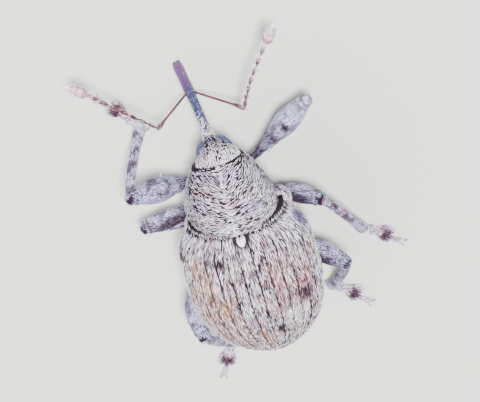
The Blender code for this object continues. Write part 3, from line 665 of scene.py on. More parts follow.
def make_wing_case(word, side, seed):
    rows, places = wing_case_rows(side)
    columns = len(rows[0])

    def dress(v, u, point, onward):
        j = round(u * columns)
        place = places[round(v * (len(places) - 1))]
        if j >= len(ACROSS):
            return onward, {"cover": 0.0}
        share = ACROSS[j]
        phase = share * STRIAE % 1.0
        off = abs(phase - 0.5)
        rough = noise.noise(point * 2.7)
        streaks = noise.noise(Vector((point.x * 11, point.y * 3, point.z * 11)))
        edge = off + 0.03 * noise.noise(point * 5.0)
        patchy = 0.78 + 0.3 * noise.noise(point * 4.5)
        cover = max(patchy * fade(edge, 0.045, 0.10), 0.92 * fade(place, 0.45, 0.10))
        dark = max(0.85 * fade(streaks, 0.05, 0.4), 0.5 * fade(edge, 0.16, 0.06))
        layers = {
            "cover": cover * fade(place, CASE_START, CASE_START + 0.01),
            "dark": dark * fade(place, -0.05, 0.3),
            "rust": 0.45 * fade(noise.noise(point * 2.3 + Vector((0, 9, 0))), 0.1, 0.6),
            "ochre": 0.55 * fade(rough, -0.1, 0.5) * fade(place, 0.4, 1.4),
            "white": 0.35 * fade(noise.noise(point * 1.9 + Vector((7, 0, 0))), 0.05, 0.5),
        }
        wobble = noise.noise(Vector((share * 14, place * 2.6, side * 4)))
        bare = 0.0
        for layer, at, across, long, wide, strength in MARKINGS:
            if across * side > 0:
                spot = (place + wobble * 0.12, share + wobble * 0.03)
                amount = strength * blot(*spot, at, abs(across), long, wide)
                if layer in ("ochre", "rust"):
                    amount *= min(1.0, 1.0 + 0.8 * streaks)
                if layer == "bare":
                    bare = max(bare, amount)
                else:
                    layers[layer] = max(layers.get(layer, 0.0), amount)
                    if layer == "ochre":
                        layers["white"] *= 1 - amount
        by_scutellum = math.hypot(point.x / 0.27, (point.y - 0.09) / 0.22)
        layers["cover"] *= (1 - bare) * fade(by_scutellum, 0.9, 1.0)
        # dark: black beside the scutellum, and at the very front, under the prothorax's rim, painted shade in
        # the gap between the two.
        layers["dark"] = max(layers["dark"], fade(by_scutellum, 1.05, 0.95), fade(place, -0.105, -0.12))
        outward = Vector((side * math.cos(share * 1.9), 0, -math.sin(share * 1.9)))
        lie = onward + outward * 0.14 * math.sin(math.tau * phase)
        return lie + waves(point, (2.5, 0.16), (6.0, 0.18)), layers

    skin = make_skin(f"wing_case_{word}_shell", rows, dress, trunk_chitin)
    settle_coated(
        skin, f"wing_case_{word}", f"wing_case_{word}_scales", elytra_scales,
        density=660.0, closest=0.032, length=0.19, width=0.019, lift=0.12, wander=0.09, seed=seed,
    )


make_wing_case("left", 1, 5)
make_wing_case("right", -1, 6)


# Scutellum. A small raised oval of chitin between the wing cases, closely covered with white scales; the
# wing cases are bare and black on both sides of it.
def ellipsoid_rows(centre, radii, axes=Matrix.Identity(3), steps=18, sides=28):
    """Rings from one end of the second axis to the other."""
    rows = []
    for k in range(steps + 1):
        angle = math.pi * (0.02 + 0.96 * k / steps)
        row = []
        for j in range(sides):
            turn = math.tau * j / sides
            row.append(
                Vector(centre)
                + axes[0] * radii[0] * math.sin(angle) * math.cos(turn)
                + axes[1] * radii[1] * -math.cos(angle)
                + axes[2] * radii[2] * math.sin(angle) * math.sin(turn)
            )
        rows.append(row)
    return rows


def dress_along(v, u, point, onward):
    return onward, {}


white_scales = scale_material("white_scales", (0.93, 0.92, 0.95), (0.70, 0.69, 0.74))
scutellum_rows = ellipsoid_rows((0, 0.14, 3.90), (0.13, 0.19, 0.20))
scutellum = make_skin("scutellum_skin", scutellum_rows, dress_along, trunk_chitin)
settle_coated(
    scutellum, "scutellum", "scutellum_scales", white_scales,
    density=2500.0, closest=0.02, length=0.10, width=0.03, lift=0.08, wander=0.12, seed=8,
)


# Hind thorax and abdomen. The hard plates of the underside, one behind the other, with short flat pale
# scales; in front, a side plate of the middle thorax fills the corner by the prothorax on either side.
TRUNK_SPLIT = 1.95
BELLY_EDGES = (2.65, 3.3, 3.75, 4.2)
PLATE_STEP = 0.05


def core_ring(place, step):
    """The ring at this place that fills the wing cases' hollow, its underside raised by a step."""
    half, top, waist, margin, belly = smooth_value(HIND_BODY, place)
    inner_half = max(max(half - SHELL, LEAST_HOLLOW * half) - 1.5 * SEAM, 0.05)
    inner_rise = max(max(top - waist - SHELL, LEAST_HOLLOW * (top - waist)) - 1.5 * SEAM, 0.05)
    wide, deck = half * 0.88, margin - SEAM
    depth = deck - belly - step
    quarter = []
    for k in range(25):
        angle = math.pi / 2 * k / 24
        quarter.append((wide * math.sin(angle), deck - depth * math.cos(angle) ** 1.8))
    quarter.append((inner_half * 0.95, deck))
    for k in range(9):
        angle = math.pi / 2 * (1 - k / 8)
        quarter.append((inner_half * math.sin(angle), waist + inner_rise * math.cos(angle)))
    ring = quarter + [(-x, z) for x, z in reversed(quarter[1:-1])]
    return [Vector((x, lean(place, z), z)) for x, z in ring]


def core_rows(start, end, edges):
    places = [start + (end - start) * k / 60 for k in range(61)]
    for edge in edges:
        places = [p for p in places if abs(p - edge) > 0.025] + [edge - 0.02, edge + 0.02]
    rows = []
    for place in sorted(places):
        before = max([e for e in (start, *edges) if e <= place])
        after = min([e for e in (*edges, end) if e > place], default=end)
        share = (place - before) / max(after - before, 0.01)
        rows.append(core_ring(place, PLATE_STEP * (1 - share) if edges else 0.0))
    return rows


SIDE_PLATES = {"left": (1.28, 0.08, 2.32), "right": (-1.36, -0.12, 2.34)}
SIDE_PLATE_RADII = (0.37, 0.42, 0.30)


def dress_side_plate(v, u, point, onward):
    bared = fade(point.y, 0.05, -0.1) * fade(abs(point.x), 1.2, 1.3)
    return onward + Vector((0, 0, 0.3)), {"cover": 0.8 * bared, "rust": 0.25, "blue": 0.30}


belly_scales = scale_material("belly_scales", (0.80, 0.77, 0.78), (0.45, 0.42, 0.44))
for name, start, end, edges, seed in (
    ("hind_thorax", SEAM / 2, TRUNK_SPLIT - SEAM / 2, (), 9),
    ("abdomen", TRUNK_SPLIT + SEAM / 2, ELYTRA_LENGTH - 0.22, BELLY_EDGES, 10),
):
    def dress_belly(v, u, point, onward):
        level = smooth_value(HIND_BODY, min(max(point.y, 0.0), ELYTRA_LENGTH))[3]
        return onward, {"cover": fade(point.z, level - 0.02, level - 0.1) * fade(v, 0.0, 0.02)}

    skin = make_skin(f"{name}_skin", core_rows(start, end, edges), dress_belly, trunk_chitin)
    settle_coated(
        skin, name, f"{name}_scales", belly_scales,
        density=300.0, closest=0.05, length=0.16, width=0.035, lift=0.08, wander=0.15, seed=seed,
    )
for word, centre in SIDE_PLATES.items():
    rows = ellipsoid_rows(centre, SIDE_PLATE_RADII)
    plate = make_skin(f"side_plate_{word}", rows, dress_side_plate, trunk_chitin)
    settle_coated(
        plate, None, f"side_plate_{word}_scales", belly_scales,
        density=900.0, closest=0.026, length=0.15, width=0.026, lift=0.10, wander=0.10, seed=12,
    )


# Head. A rounded capsule of dark chitin, sunk in the front of the prothorax like a ball in its socket; its
# pale hair-scales lie away from the root of the snout.
HEAD = (
    (0.00, 0.50, 0.50),
    (0.15, 0.62, 0.62),
    (0.38, 0.71, 0.68),
    (0.62, 0.69, 0.65),
    (0.85, 0.59, 0.55),
    (1.05, 0.42, 0.40),
    (1.22, 0.27, 0.27),
    (1.36, 0.205, 0.205),
)
HEAD_START = Vector((0.03, -1.62, 2.96))
HEAD_YAW, HEAD_DIP, HEAD_ROLL = 12.0, 47.0, 14.0
EYE_RADII = (0.18, 0.32, 0.36)
EYE_PLACE = (0.38, 0.97, 0.0)
EYE_TURN = 0.5
SNOUT_START = 1.34
UP = Vector((0, 0, 1))


def heading(yaw, dip):
    """A direction from degrees to the animal's left and degrees below level."""
    yaw, dip = math.radians(yaw), math.radians(dip)
    return Vector((math.sin(yaw) * math.cos(dip), -math.cos(yaw) * math.cos(dip), -math.sin(dip)))


head_forward = heading(HEAD_YAW, HEAD_DIP)
head_left = Matrix.Rotation(math.radians(HEAD_ROLL), 3, head_forward) @ UP.cross(head_forward)
head_left.normalize()
head_up = head_forward.cross(head_left)


def head_point(along, out=0.0, above=0.0):
    return HEAD_START + head_forward * along + head_left * out + head_up * above


def frame_along(tangent, up):
    across = tangent.cross(up).normalized()
    return across, across.cross(tangent).normalized()


def tube_rows(path, radii, sides, up=UP, round_ends=True):
    """Rings along a path. radii gives (across, upward) at each point; round ends add small closing rings."""
    path = [Vector(p) for p in path]
    rows = []
    for k, centre in enumerate(path):
        tangent = (path[min(k + 1, len(path) - 1)] - path[max(k - 1, 0)]).normalized()
        across, above = frame_along(tangent, Vector(up))
        wide, tall = radii[k]
        shares = [(0.0, 1.0)]
        if round_ends and k in (0, len(path) - 1):
            reach = (-0.5 if k == 0 else 0.5) * min(wide, tall)
            shares = [(reach * math.sin(a), math.cos(a)) for a in (0.0, 0.5, 1.0, 1.4)]
            shares = shares[::-1] if k == 0 else shares
        for step, shrink in shares:
            row = []
            for j in range(sides):
                angle = math.tau * j / sides
                out = across * wide * shrink * math.cos(angle) + above * tall * shrink * math.sin(angle)
                row.append(centre + tangent * step + out)
            rows.append(row)
    return rows


def eye_frame(side):
    outward = (head_left * side + head_forward * EYE_TURN).normalized()
    onward = (head_forward - outward * head_forward.dot(outward)).normalized()
    return head_point(EYE_PLACE[1], EYE_PLACE[0] * side, EYE_PLACE[2]), (outward, onward, head_up)


def clear_of_eyes(point):
    """0 on the eyes' rims and inside them, 1 away from them."""
    nearest = 9.0
    for side in (1, -1):
        centre, axes = eye_frame(side)
        nearest = min(nearest, math.hypot(*((point - centre).dot(a) / r for a, r in zip(axes, EYE_RADII))))
    return fade(nearest, 1.0, 1.12)


snout_root = head_point(HEAD[-1][0] + 0.25)


def dress_head(v, u, point, onward):
    """The scales fan out backwards from the root of the snout."""
    lie = (point - snout_root).normalized() + waves(point, (3.0, 0.55), (8.0, 0.55))
    return lie, {
        "cover": clear_of_eyes(point) * (0.78 + 0.3 * noise.noise(point * 6.0)),
        "size": 0.60 + 0.45 * fade(v, 0.95, 0.45),
        "dark": 0.35 * fade(noise.noise(point * 5.0), 0.2, 0.6),
        # white: the animal's right half of the head is whiter, painted light as if lit from that side.
        "white": 0.5 * fade(-point.x, 0.1, 0.5),
    }


head_scales = scale_material("head_scales", (0.94, 0.86, 0.96), (0.48, 0.40, 0.52))
head_places = [HEAD[-1][0] * k / 48 for k in range(49)]
head_radii = [tuple(smooth_value(HEAD, place)) for place in head_places]
head_rows = tube_rows([head_point(p) for p in head_places], head_radii, 72, up=head_up, round_ends=False)
head = make_skin("head_skin", head_rows, dress_head, trunk_chitin)
settle_coated(
    head, "head", "head_scales", head_scales,
    density=900.0, closest=0.030, length=0.12, width=0.024, lift=0.14, wander=0.16, seed=21,
)


# Eyes. Two bulging ovals of fine slate-blue facets, set fast in the head's capsule, one on each side of the
# snout's root.
FINE_DENT = 0.000008


def eye_material():
    material, tree, shader = new_material("eye_facets", 0.28)
    facets = texture(tree, "ShaderNodeTexVoronoi", 26000.0)
    facets.inputs["Randomness"].default_value = 0.25
    tone = stepped(tree, facets.outputs["Distance"], 0.2, 0.62)
    tree.links.new(mixed(tree, tone, (0.036, 0.050, 0.14), (0.015, 0.015, 0.04)), shader.inputs["Base Color"])
    dent(tree, shader, facets.outputs["Distance"], 0.5, FINE_DENT, True)
    return material


eye_facets = eye_material()
for word, side in (("left", 1), ("right", -1)):
    centre, axes = eye_frame(side)
    rows = ellipsoid_rows(centre, EYE_RADII, axes, 40, 48)
    eye = make_skin(f"eye_{word}_facets", rows, dress_along, eye_facets, 0.0)
    settle(eye, f"eye_{word}")


# Snout. A long curved tube of smooth blue-black chitin that grows from the head's front, with small white
# scales on its nearer half, side grooves for the antennae, and two tiny jaws at the tip.
SNOUT_LENGTH = 2.55
SNOUT_STEPS = 96
SNOUT_DIP = (34.0, 56.0)
SNOUT_YAW = (9.5, 22.0)
SNOUT_RADII = (
    (0.0, 0.200), (0.08, 0.168), (0.2, 0.146), (0.35, 0.137), (0.5, 0.143), (0.62, 0.156), (0.8, 0.152),
    (0.95, 0.155), (1.0, 0.140),
)
GROOVE_DEPTH = 0.16
ANTENNA_ROOT = 0.62


def snout_point(share):
    place = head_point(SNOUT_START)
    for k in range(round(share * SNOUT_STEPS)):
        way = (k + 0.5) / SNOUT_STEPS
        yaw = SNOUT_YAW[0] + (SNOUT_YAW[1] - SNOUT_YAW[0]) * way
        dip = SNOUT_DIP[0] + (SNOUT_DIP[1] - SNOUT_DIP[0]) * way
        place = place + heading(yaw, dip) * SNOUT_LENGTH / SNOUT_STEPS
    return place


def snout_material():
    material, tree, shader = new_material("snout_chitin", 0.32)
    colour = mixed(tree, reading(tree, "rust"), (0.014, 0.018, 0.060), (0.070, 0.022, 0.095))
    dents = texture(tree, "ShaderNodeTexVoronoi", 22000.0)
    # The colour is darker in the middle of each dent.
    darker_in_dents = stepped(tree, dents.outputs["Distance"], 0.0, 0.5)
    tree.links.new(mixed(tree, darker_in_dents, (0.01, 0.01, 0.03), colour), shader.inputs["Base Color"])
    dent(tree, shader, dents.outputs["Distance"], 0.35, FINE_DENT)
    return material


def dress_snout(v, u, point, onward):
    near = fade(v, 0.55, 0.0)
    cover = 0.15 + 0.85 * near**1.5
    return onward * -1, {"cover": cover, "size": 0.45 + 0.45 * near, "rust": fade(v, 0.5, 0.85)}


def hook_rows(points, radii, sides, up=UP):
    """A smooth tapering tube through a few points."""
    stations = [(k, *Vector(p), r) for k, (p, r) in enumerate(zip(points, radii))]
    steps = 8 * (len(points) - 1)
    found = [smooth_value(stations, k / 8) for k in range(steps + 1)]
    return tube_rows([f[:3] for f in found], [(f[3], f[3]) for f in found], sides, up)


def merge(first, others):
    """Adds the other skins to the first one's mesh; they keep their markings."""
    work = bmesh.new()
    work.from_mesh(first.data)
    for other in others:
        work.from_mesh(other.data)
        bpy.data.objects.remove(other)
    work.to_mesh(first.data)
    work.free()
    return first


snout_chitin = snout_material()
snout_path = [snout_point(k / SNOUT_STEPS) for k in range(SNOUT_STEPS + 1)]
snout_radii = [smooth_value(SNOUT_RADII, k / SNOUT_STEPS)[0] for k in range(SNOUT_STEPS + 1)]
snout_rows = tube_rows(snout_path, [(r, r) for r in snout_radii], 48, up=(0, -0.3, 1))
for k, row in enumerate(snout_rows):
    middle = sum(row, Vector()) / len(row)
    along = k / (len(snout_rows) - 1)
    deep = GROOVE_DEPTH * fade(along, 0.06, 0.2) * fade(along, ANTENNA_ROOT + 0.05, ANTENNA_ROOT)
    for j, point in enumerate(row):
        angle = math.tau * j / len(row)
        beside = fade(abs(math.sin(angle) + 0.15), 0.28, 0.10)
        row[j] = point.lerp(middle, deep * beside)
snout = make_skin("snout_shell", snout_rows, dress_snout, snout_chitin, 0.0)
settle_coated(
    snout, "snout", "snout_scales", white_scales,
    density=1300.0, closest=0.031, length=0.085, width=0.027, lift=0.12, wander=0.12, seed=23,
)
tip_way = (snout_path[-1] - snout_path[-4]).normalized()
tip_side, tip_above = frame_along(tip_way, Vector((0, -0.3, 1)))
jaws = []
for turn in (1, -1):
    jaw = [
        snout_path[-1] + tip_side * 0.075 * turn,
        snout_path[-1] + tip_way * 0.09 + tip_side * 0.085 * turn,
        snout_path[-1] + tip_way * 0.15 + tip_side * 0.020 * turn,
    ]
    rows = hook_rows(jaw, [0.045, 0.040, 0.010], 12, tip_above)
    jaws.append(make_skin("jaw", rows, dress_along, snout_chitin, 0.0))
jaws = merge(jaws[0], jaws[1:])
jaws.name = "jaws"
settle(jaws)


# Antennae. A thin shaft of red-brown chitin springs from a pit in each side of the snout and runs to an
# elbow; seven beads with rings of pale hairs and a downy club follow.
CLUB_LENGTH, CLUB_RADIUS = 0.72, 0.155
CLUB_RINGS = (0.28, 0.52, 0.74)
# Hairs by side: beads' hairs in a square millimetre, their length and lift, and the club's hairs.
HAIRS = {"left": (300.0, 0.08, 0.35, 900.0), "right": (2400.0, 0.15, 0.60, 1900.0)}
BEADS = 7
ANTENNAE = {
    "left": ((1.62, -3.22, 2.0), (2.42, -4.20, 2.42), (3.26, -4.98, 2.36), (0.80, -0.60, -0.05)),
    "right": ((-1.04, -3.14, 1.9), (-1.46, -4.20, 2.42), (-2.15, -5.22, 2.40), (-0.55, -0.82, 0.05)),
}


def curve_point(start, bend, end, t):
    """A point of the curve from start to end that is pulled towards bend."""
    return start * (1 - t) ** 2 + bend * 2 * t * (1 - t) + end * t**2


def limb_material(name, base, tip, roughness=0.4):
    """Red-brown chitin that darkens towards the joints, with fine dents."""
    material, tree, shader = new_material(name, roughness, 0.2)
    grain = texture(tree, "ShaderNodeTexNoise", 9000.0).outputs["Fac"]
    toned = mixed(tree, stepped(tree, reading(tree, "dark"), 0.0, 1.0), base, tip)
    paler = mixed(tree, 0.15, toned, (0.40, 0.20, 0.20))
    tree.links.new(mixed(tree, stepped(tree, grain, 0.4, 0.7), toned, paler), shader.inputs["Base Color"])
    dent(tree, shader, grain, 0.3, 0.000006)
    return material


antenna_chitin = limb_material("antenna_chitin", (0.045, 0.012, 0.020), (0.016, 0.004, 0.010))
club_chitin = limb_material("club_chitin", (0.33, 0.10, 0.18), (0.14, 0.04, 0.09), 0.6)
antenna_hairs = scale_material("antenna_hairs", (0.95, 0.90, 0.92), (0.80, 0.70, 0.74))


def bead_radius(share):
    """A bead's radius, from its narrow neck to its rounded end."""
    return 0.028 + 0.030 * fade(share, 0.05, 0.62) * fade(share, 1.02, 0.86)


for word, places in ANTENNAE.items():
    elbow, bend, end, club_way = (Vector(p) for p in places)
    root = snout_point(ANTENNA_ROOT)
    root = root + (elbow - root).normalized() * 0.12
    steps = 40
    shaft_radii = []
    for k in range(steps + 1):
        share = k / steps
        shaft_radii.append(0.036 + 0.010 * fade(share, 0.1, 0.0) + 0.042 * fade(share, 0.74, 0.94))

    def dress_shaft(v, u, point, onward):
        ends = max(fade(v, 0.80, 0.97), fade(v, 0.06, 0.0))
        return onward, {"dark": 0.6 * ends, "cover": fade(v, 0.7, 0.9)}

    path = [root.lerp(elbow, k / steps) for k in range(steps + 1)]
    rows = tube_rows(path, [(r, r) for r in shaft_radii], 14)
    shaft = make_skin(f"antenna_{word}_shaft", rows, dress_shaft, antenna_chitin, 0.0)
    settle_coated(
        shaft, f"antenna_{word}_scape", f"antenna_{word}_shaft_hairs", antenna_hairs,
        density=500.0, closest=0.03, length=0.09, width=0.014, lift=0.25, wander=0.2, seed=30,
    )
    control = bend * 2 - (elbow + end) / 2
    steps = 20 * BEADS
    path = [curve_point(elbow, control, end, k / steps) for k in range(steps + 1)]
    radii = [bead_radius(k / steps * BEADS % 1.0) * (0.85 + 0.25 * k / steps) for k in range(steps + 1)]

    def dress_beads(v, u, point, onward):
        share = v * BEADS % 1.0
        return onward, {"dark": 0.7 * fade(share, 0.25, 0.0), "cover": 0.15 + 0.85 * fade(share, 0.3, 0.6)}

    rows = tube_rows(path, [(r, r) for r in radii], 16)
    beads = make_skin(f"antenna_{word}_beads", rows, dress_beads, antenna_chitin, 0.0)
    crowd, reach, lift, club_crowd = HAIRS[word]
    settle_coated(
        beads, f"antenna_{word}_funicle", f"antenna_{word}_bead_hairs", antenna_hairs,
        density=crowd, closest=0.018, length=reach, width=0.014, lift=lift, wander=0.25, seed=31,
    )
    club_way.normalize()
    start = end + (end - path[-4]).normalized() * 0.02
    shares = [k / 48 for k in range(49)]
    club_radii = []
    for share in shares:
        root_swell = 0.35 + 0.65 * fade(share, 0.0, 0.32)
        tip_swell = 1.0 - 0.94 * fade(share, 0.60, 1.02) ** 1.5
        swell = root_swell if share < 0.4 else tip_swell
        ring = 1.0 - 0.07 * max(fade(abs(share - at), 0.035, 0.0) for at in CLUB_RINGS)
        club_radii.append(CLUB_RADIUS * swell * ring)

    def dress_club(v, u, point, onward):
        return onward, {"dark": max(fade(abs(v - at), 0.04, 0.0) for at in CLUB_RINGS)}

    path = [start + club_way * CLUB_LENGTH * share for share in shares]
    rows = tube_rows(path, [(r, r) for r in club_radii], 28)
    club = make_skin(f"antenna_{word}_club_body", rows, dress_club, club_chitin, 0.0)
    settle_coated(
        club, f"antenna_{word}_club", f"antenna_{word}_club_hairs", antenna_hairs,
        density=club_crowd, closest=0.018, length=0.12, width=0.014, lift=0.34, wander=0.2, seed=32,
    )


# Legs. Each is of dark scaled chitin and has a round hip set in the underside, a thigh that swells to a
# toothed club, a thin straight shin with a spur at its end, and a foot of four joints: the third has two
# broad lobes, the last two hooked claws.
COXAE = {
    "front": ((0.44, -0.82, 1.18), (0.36, 0.38, 0.38)),
    "mid": ((0.55, 0.06, 1.15), (0.37, 0.37, 0.37)),
    "hind": ((0.74, 1.90, 1.20), (0.46, 0.34, 0.34)),
}
FEMUR_RADIUS = {"front": 0.40, "mid": 0.32, "hind": 0.36}
TIBIA = {"front": 2.75, "mid": 2.95, "hind": 2.90}
FEMUR_PROFILE = (
    (0.0, 0.15), (0.07, 0.16), (0.13, 0.14), (0.28, 0.16), (0.45, 0.29), (0.66, 1.0), (0.80, 0.88),
    (0.94, 0.26), (1.0, 0.235),
)
ANKLE_HEIGHT = 0.52
TARSUS_LENGTH = 1.40
FOOT_COAT_DEPTH = 0.008
# By leg: pair, side, heading, rise and length of the thigh, headings of the shin and the foot, the thigh's
# bend out, back and down, and the shin's bow.
STANCE = {
    "leg_left_front": ("front", 1, (71.0, 35.0, 3.20), 327.0, 44.0, (0.0, 0.12, 0.28), 0.08),
    "leg_right_front": ("front", -1, (51.0, 9.0, 3.20), 222.0, 235.0, (0.0, 0.0, -0.05), 0.30),
    "leg_left_mid": ("mid", 1, (94.0, 8.0, 2.45), 258.0, 180.0, (0.0, 0.0, 0.0), 0.24),
    "leg_right_mid": ("mid", -1, (97.9, 27.4, 2.28), 158.0, 133.0, (0.0, 0.0, 0.25), 0.08),
    "leg_left_hind": ("hind", 1, (146.0, 36.0, 2.75), 199.0, 156.0, (0.60, 0.0, 0.55), 0.06),
    "leg_right_hind": ("hind", -1, (105.0, 33.9, 2.58), 201.0, 139.0, (0.0, 0.0, 0.32), 0.06),
}
# How far round each thigh the dark reaches from the rear side, partly dark hairs and partly painted shade on
# the side turned from the light: 1 is the rear edge, -1 the front edge.
DARK_TO = {"leg_left_mid": -0.55, "leg_right_mid": -0.60, "leg_right_hind": -0.45, "leg_left_hind": 0.35}
# Between which heights of a ripple the rust spots of a shin begin and are full.
SHIN_RUST = {"mid": (-0.4, 0.2), "other": (0.0, 0.4)}
leg_scales = scale_material("leg_scales", (0.69, 0.70, 1.00), (0.33, 0.31, 0.54))
foot_scales = scale_material("foot_scales", (0.84, 0.76, 0.88), (0.46, 0.36, 0.48))
leg_chitin = chitin_material("leg_chitin", (0.030, 0.026, 0.045))
claw_chitin = limb_material("claw_chitin", (0.30, 0.19, 0.18), (0.16, 0.09, 0.09), 0.35)


def level_heading(side, degrees):
    angle = math.radians(degrees)
    return Vector((side * math.sin(angle), -math.cos(angle), 0.0))


def flat_on_floor(rows):
    """Presses what dips under the floor flat on it."""
    return [[Vector((p.x, p.y, max(p.z, 0.0))) for p in row] for row in rows]


seed = 40
for name, (pair, side, femur, tibia_heading, tarsus_heading, femur_bend, bow) in STANCE.items():
    x, y, z = COXAE[pair][0]
    hip = Vector((side * x, y, z))
    femur_heading, rise, reach = femur
    rise = math.radians(rise)
    thick = FEMUR_RADIUS[pair]
    knee = hip + (level_heading(side, femur_heading) * math.cos(rise) + UP * math.sin(rise)) * reach
    drop = knee.z - ANKLE_HEIGHT
    stride = math.sqrt(TIBIA[pair] ** 2 - drop**2)
    ankle = knee + level_heading(side, tibia_heading) * stride - UP * drop
    foot_way = level_heading(side, tarsus_heading)
    across = UP.cross(foot_way)
    shin_way = (ankle - knee).normalized()
    back = hip - knee
    away = (shin_way * back.dot(shin_way) - back).normalized()

    coxa = make_skin(f"{name}_hip", ellipsoid_rows(hip, COXAE[pair][1]), dress_along, leg_chitin)
    settle_coated(
        coxa, f"{name}_coxa", f"{name}_hip_scales", leg_scales,
        density=300.0, closest=0.05, length=0.14, width=0.032, lift=0.10, wander=0.2, seed=seed,
    )

    # The thigh swells to a club with a tooth below it; its end carries a bare black spot on top.
    out, behind, down = femur_bend
    control = hip.lerp(knee, 0.5) + Vector((side * out, behind, -down))
    control = control * 2 - (hip + knee) / 2
    steps = 60
    path = [curve_point(hip, control, knee, k / steps) for k in range(steps + 1)]
    radii = []
    for k in range(steps + 1):
        radius = smooth_value(FEMUR_PROFILE, k / steps)[0]
        if radius > 0.3:
            radius = 0.25 + (thick - 0.25) * (radius - 0.25) / 0.75
        radii.append((radius * 0.96, radius))
    thigh_way = (knee - hip).normalized()
    knee_spot = knee + (away * 0.4 + thigh_way * 0.4 + UP * 0.7).normalized() * 0.24
    thigh_spot = curve_point(hip, control, knee, 0.66) + Vector((0.05, 0, 0.40))
    rearward = level_heading(side, femur_heading + 90)

    def dress_thigh(v, u, point, onward):
        rough = noise.noise(point * 2.3)
        if name == "leg_right_front":
            spot = fade((point - thigh_spot).length, 0.17, 0.06)
        else:
            spot = fade((point - knee_spot).length, 0.34, 0.24)
        # Darker towards the hip, under the body: partly the dark underside, partly painted shade.
        hip_dark_and_shade = 0.85 * fade(v + rough * 0.15, 0.60, 0.30)
        outward = (point - curve_point(hip, control, knee, v)).normalized()
        # The rear side of the thigh is darkened, as far round as DARK_TO says: dark bare hairs together with
        # painted shade.
        turned = outward.dot(rearward) + 0.6 * rough - DARK_TO.get(name, 2.0)
        shaded = 0.95 * fade(turned, -0.25, 0.20) * fade(v, 1.0, 0.75)
        return onward + waves(point, (3.0, 0.25)), {
            "dark": max(hip_dark_and_shade, spot, shaded, 0.75 * fade(noise.noise(point * 3.7), 0.05, 0.4)),
            "rust": 0.35 * fade(noise.noise(point * 2.9 + Vector((3, 0, 0))), 0.05, 0.5),
            "size": 0.70,
            "cover": (1.0 - 0.4 * max(hip_dark_and_shade, shaded)) * (1 - spot),
        }

    thigh = make_skin(f"{name}_thigh", tube_rows(path, radii, 32, up=-shin_way), dress_thigh, leg_chitin)
    root = path[40]
    tip = root + shin_way * (thick + 0.10) + thigh_way * 0.05
    tooth_rows = hook_rows([root, root.lerp(tip, 0.6), tip], [0.16, 0.10, 0.015], 12, up=(1, 0.2, 0))
    merge(thigh, [make_skin("tooth", tooth_rows, dress_along, leg_chitin)])
    settle_coated(
        thigh, f"{name}_femur", f"{name}_thigh_scales", leg_scales,
        density=1100.0, closest=0.026, length=0.16, width=0.024, lift=0.12, wander=0.12, seed=seed + 1,
    )

    # The shin widens a little to its end, where a spur stands on the inner side.
    path, radii = [], []
    for k in range(steps + 1):
        t = k / steps
        path.append(knee.lerp(ankle, t) + away * bow * math.sin(math.pi * t**0.7))
        radius = 0.135 + 0.018 * fade(t, 0.05, 0.3) + 0.035 * fade(t, 0.7, 0.97)
        radii.append((radius, radius * 1.08))

    rusty = SHIN_RUST["mid" if pair == "mid" else "other"]

    def dress_shin(v, u, point, onward):
        return onward + waves(point, (3.0, 0.25)), {
            "size": 0.65 + 0.3 * fade(v, 0.85, 1.0),
            "white": 0.6 * fade(v, 0.85, 0.97),
            "dark": 0.85 * fade(noise.noise(point * 3.7), -0.05, 0.35),
            "rust": 0.85 * fade(noise.noise(point * 2.9 + Vector((3, 0, 0))), *rusty),
        }

    shin = make_skin(f"{name}_shin", tube_rows(path, radii, 28, up=away), dress_shin, leg_chitin)
    settle_coated(
        shin, f"{name}_tibia", f"{name}_shin_scales", leg_scales,
        density=1150.0, closest=0.026, length=0.16, width=0.024, lift=0.12, wander=0.14, seed=seed + 2,
    )
    root = knee.lerp(ankle, 0.955) - away * 0.10
    tip = ankle - away * 0.32 + shin_way * 0.08
    bend = root.lerp(tip, 0.55) + shin_way * 0.03
    spur_rows = hook_rows([root, bend, tip], [0.07, 0.045, 0.008], 10, up=shin_way)
    spur = make_skin(f"{name}_spur", spur_rows, dress_along, claw_chitin, 0.0)

    # The foot: two short joints, a third with two broad padded lobes, and a slim last one that rises from
    # between them.
    lobe_place = ankle + foot_way * TARSUS_LENGTH * 0.56
    lobe_place.z = 0.12
    first = ankle.lerp(lobe_place, 0.02)
    middle = ankle.lerp(lobe_place, 0.44) + UP * 0.01
    before = ankle.lerp(lobe_place, 0.80) - UP * 0.01
    tip = ankle + foot_way * (TARSUS_LENGTH + 0.02)
    tip.z = 0.15
    arch = lobe_place.lerp(tip, 0.5) + UP * 0.10
    joints = [
        hook_rows([first, first.lerp(middle, 0.55), middle], [0.110, 0.120, 0.155], 20),
        hook_rows([middle.lerp(before, 0.1), middle.lerp(before, 0.6), before], [0.085, 0.130, 0.160], 20),
        hook_rows([before, before.lerp(lobe_place, 0.5), lobe_place], [0.090, 0.125, 0.130], 20),
        hook_rows([lobe_place + UP * 0.03, arch, tip], [0.055, 0.065, 0.090], 18),
    ]
    for turn in (1, -1):
        way = (foot_way + across * 0.30 * turn).normalized()
        axes = (way.cross(UP), way, UP)
        centre = lobe_place + across * 0.13 * turn + foot_way * 0.06
        joints.append(ellipsoid_rows(centre, (0.14, 0.27, 0.125), axes, 16, 20))
    hollow = lobe_place + foot_way * 0.04 + UP * 0.12

    def dress_foot(v, u, point, onward):
        middle_spot = fade((point - hollow).length, 0.26, 0.12)
        waist = 0.6 * fade(abs((point - before).dot(foot_way)), 0.14, 0.03)
        return onward + (point - lobe_place).normalized() * 0.6, {
            "cover": fade(point.z, 0.03, 0.06) * (1 - 0.6 * middle_spot),
            "size": 0.75,
            "rust": max(0.9 * middle_spot, waist),
            "dark": 0.85 * middle_spot,
        }

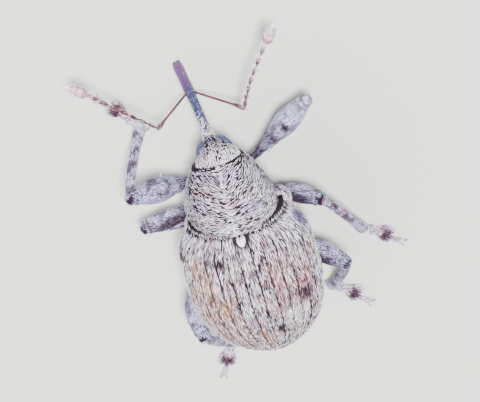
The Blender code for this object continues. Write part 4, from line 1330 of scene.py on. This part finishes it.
    shells = []
    for rows in joints:
        rows = flat_on_floor(rows)
        shells.append(make_skin(f"{name}_joint", rows, dress_foot, leg_chitin, FOOT_COAT_DEPTH))
    foot = merge(shells[0], shells[1:])
    foot.name = f"{name}_tarsus"
    foot_coat = make_coat(
        f"{name}_tarsus_scales", foot, foot_scales,
        density=1500.0, closest=0.024, length=0.13, width=0.022, lift=0.22, wander=0.2, seed=seed + 3,
    )
    for vert in (*foot_coat.data.vertices, *foot.data.vertices):
        vert.co.z = max(vert.co.z, 0.0)
    claws = []
    for turn in (1, -1):
        hook = [
            tip - foot_way * 0.03 + across * 0.03 * turn,
            tip + foot_way * 0.09 + across * 0.07 * turn + UP * 0.02,
            tip + foot_way * 0.17 + across * 0.11 * turn - UP * 0.04,
            tip + foot_way * 0.19 + across * 0.12 * turn - UP * 0.12,
        ]
        claw_rows = flat_on_floor(hook_rows(hook, [0.045, 0.038, 0.022, 0.006], 10))
        claws.append(make_skin(f"{name}_claw", claw_rows, dress_along, claw_chitin, 0.0))
    claws = merge(claws[0], claws[1:])
    claws.name = f"{name}_claws"
    settle(foot, f"{name}_foot")
    for piece in (foot_coat, spur, claws):
        settle(piece)
    seed += 4


# Floor and light. A plain pale floor under the model and soft studio light: a key from above and a little
# in front, and a wide fill from the left.
FLOOR_HALF = 0.3
floor_mesh = bpy.data.meshes.new("floor")
floor_corners = [(x * FLOOR_HALF, y * FLOOR_HALF, 0) for x, y in ((-1, -1), (1, -1), (1, 1), (-1, 1))]
floor_mesh.from_pydata(floor_corners, [], [(0, 1, 2, 3)])
floor = bpy.data.objects.new("floor", floor_mesh)
bpy.context.scene.collection.objects.link(floor)
floor_paint, _, floor_shader = new_material("floor_paint", 0.9)
floor_shader.inputs["Base Color"].default_value = (0.42, 0.44, 0.40, 1.0)
floor_mesh.materials.append(floor_paint)
LIGHTS = (("key", (-0.10, -0.40, 1.0), 14.5, 10), ("fill", (0.9, 0.3, 0.8), 3.0, 60))
for name, way, strength, spread in LIGHTS:
    light = bpy.data.lights.new(name, "SUN")
    light.energy = strength
    light.angle = math.radians(spread)
    lamp = bpy.data.objects.new(name, light)
    lamp.rotation_euler = Vector(way).to_track_quat("Z", "Y").to_euler()
    bpy.context.scene.collection.objects.link(lamp)
world = bpy.data.worlds.new("studio")
world.use_nodes = True
sky = world.node_tree.nodes["Background"]
sky.inputs["Color"].default_value = (0.97, 0.95, 1.0, 1.0)
sky.inputs["Strength"].default_value = 0.75
bpy.context.scene.world = world

bpy.data.objects.remove(scale_shape)
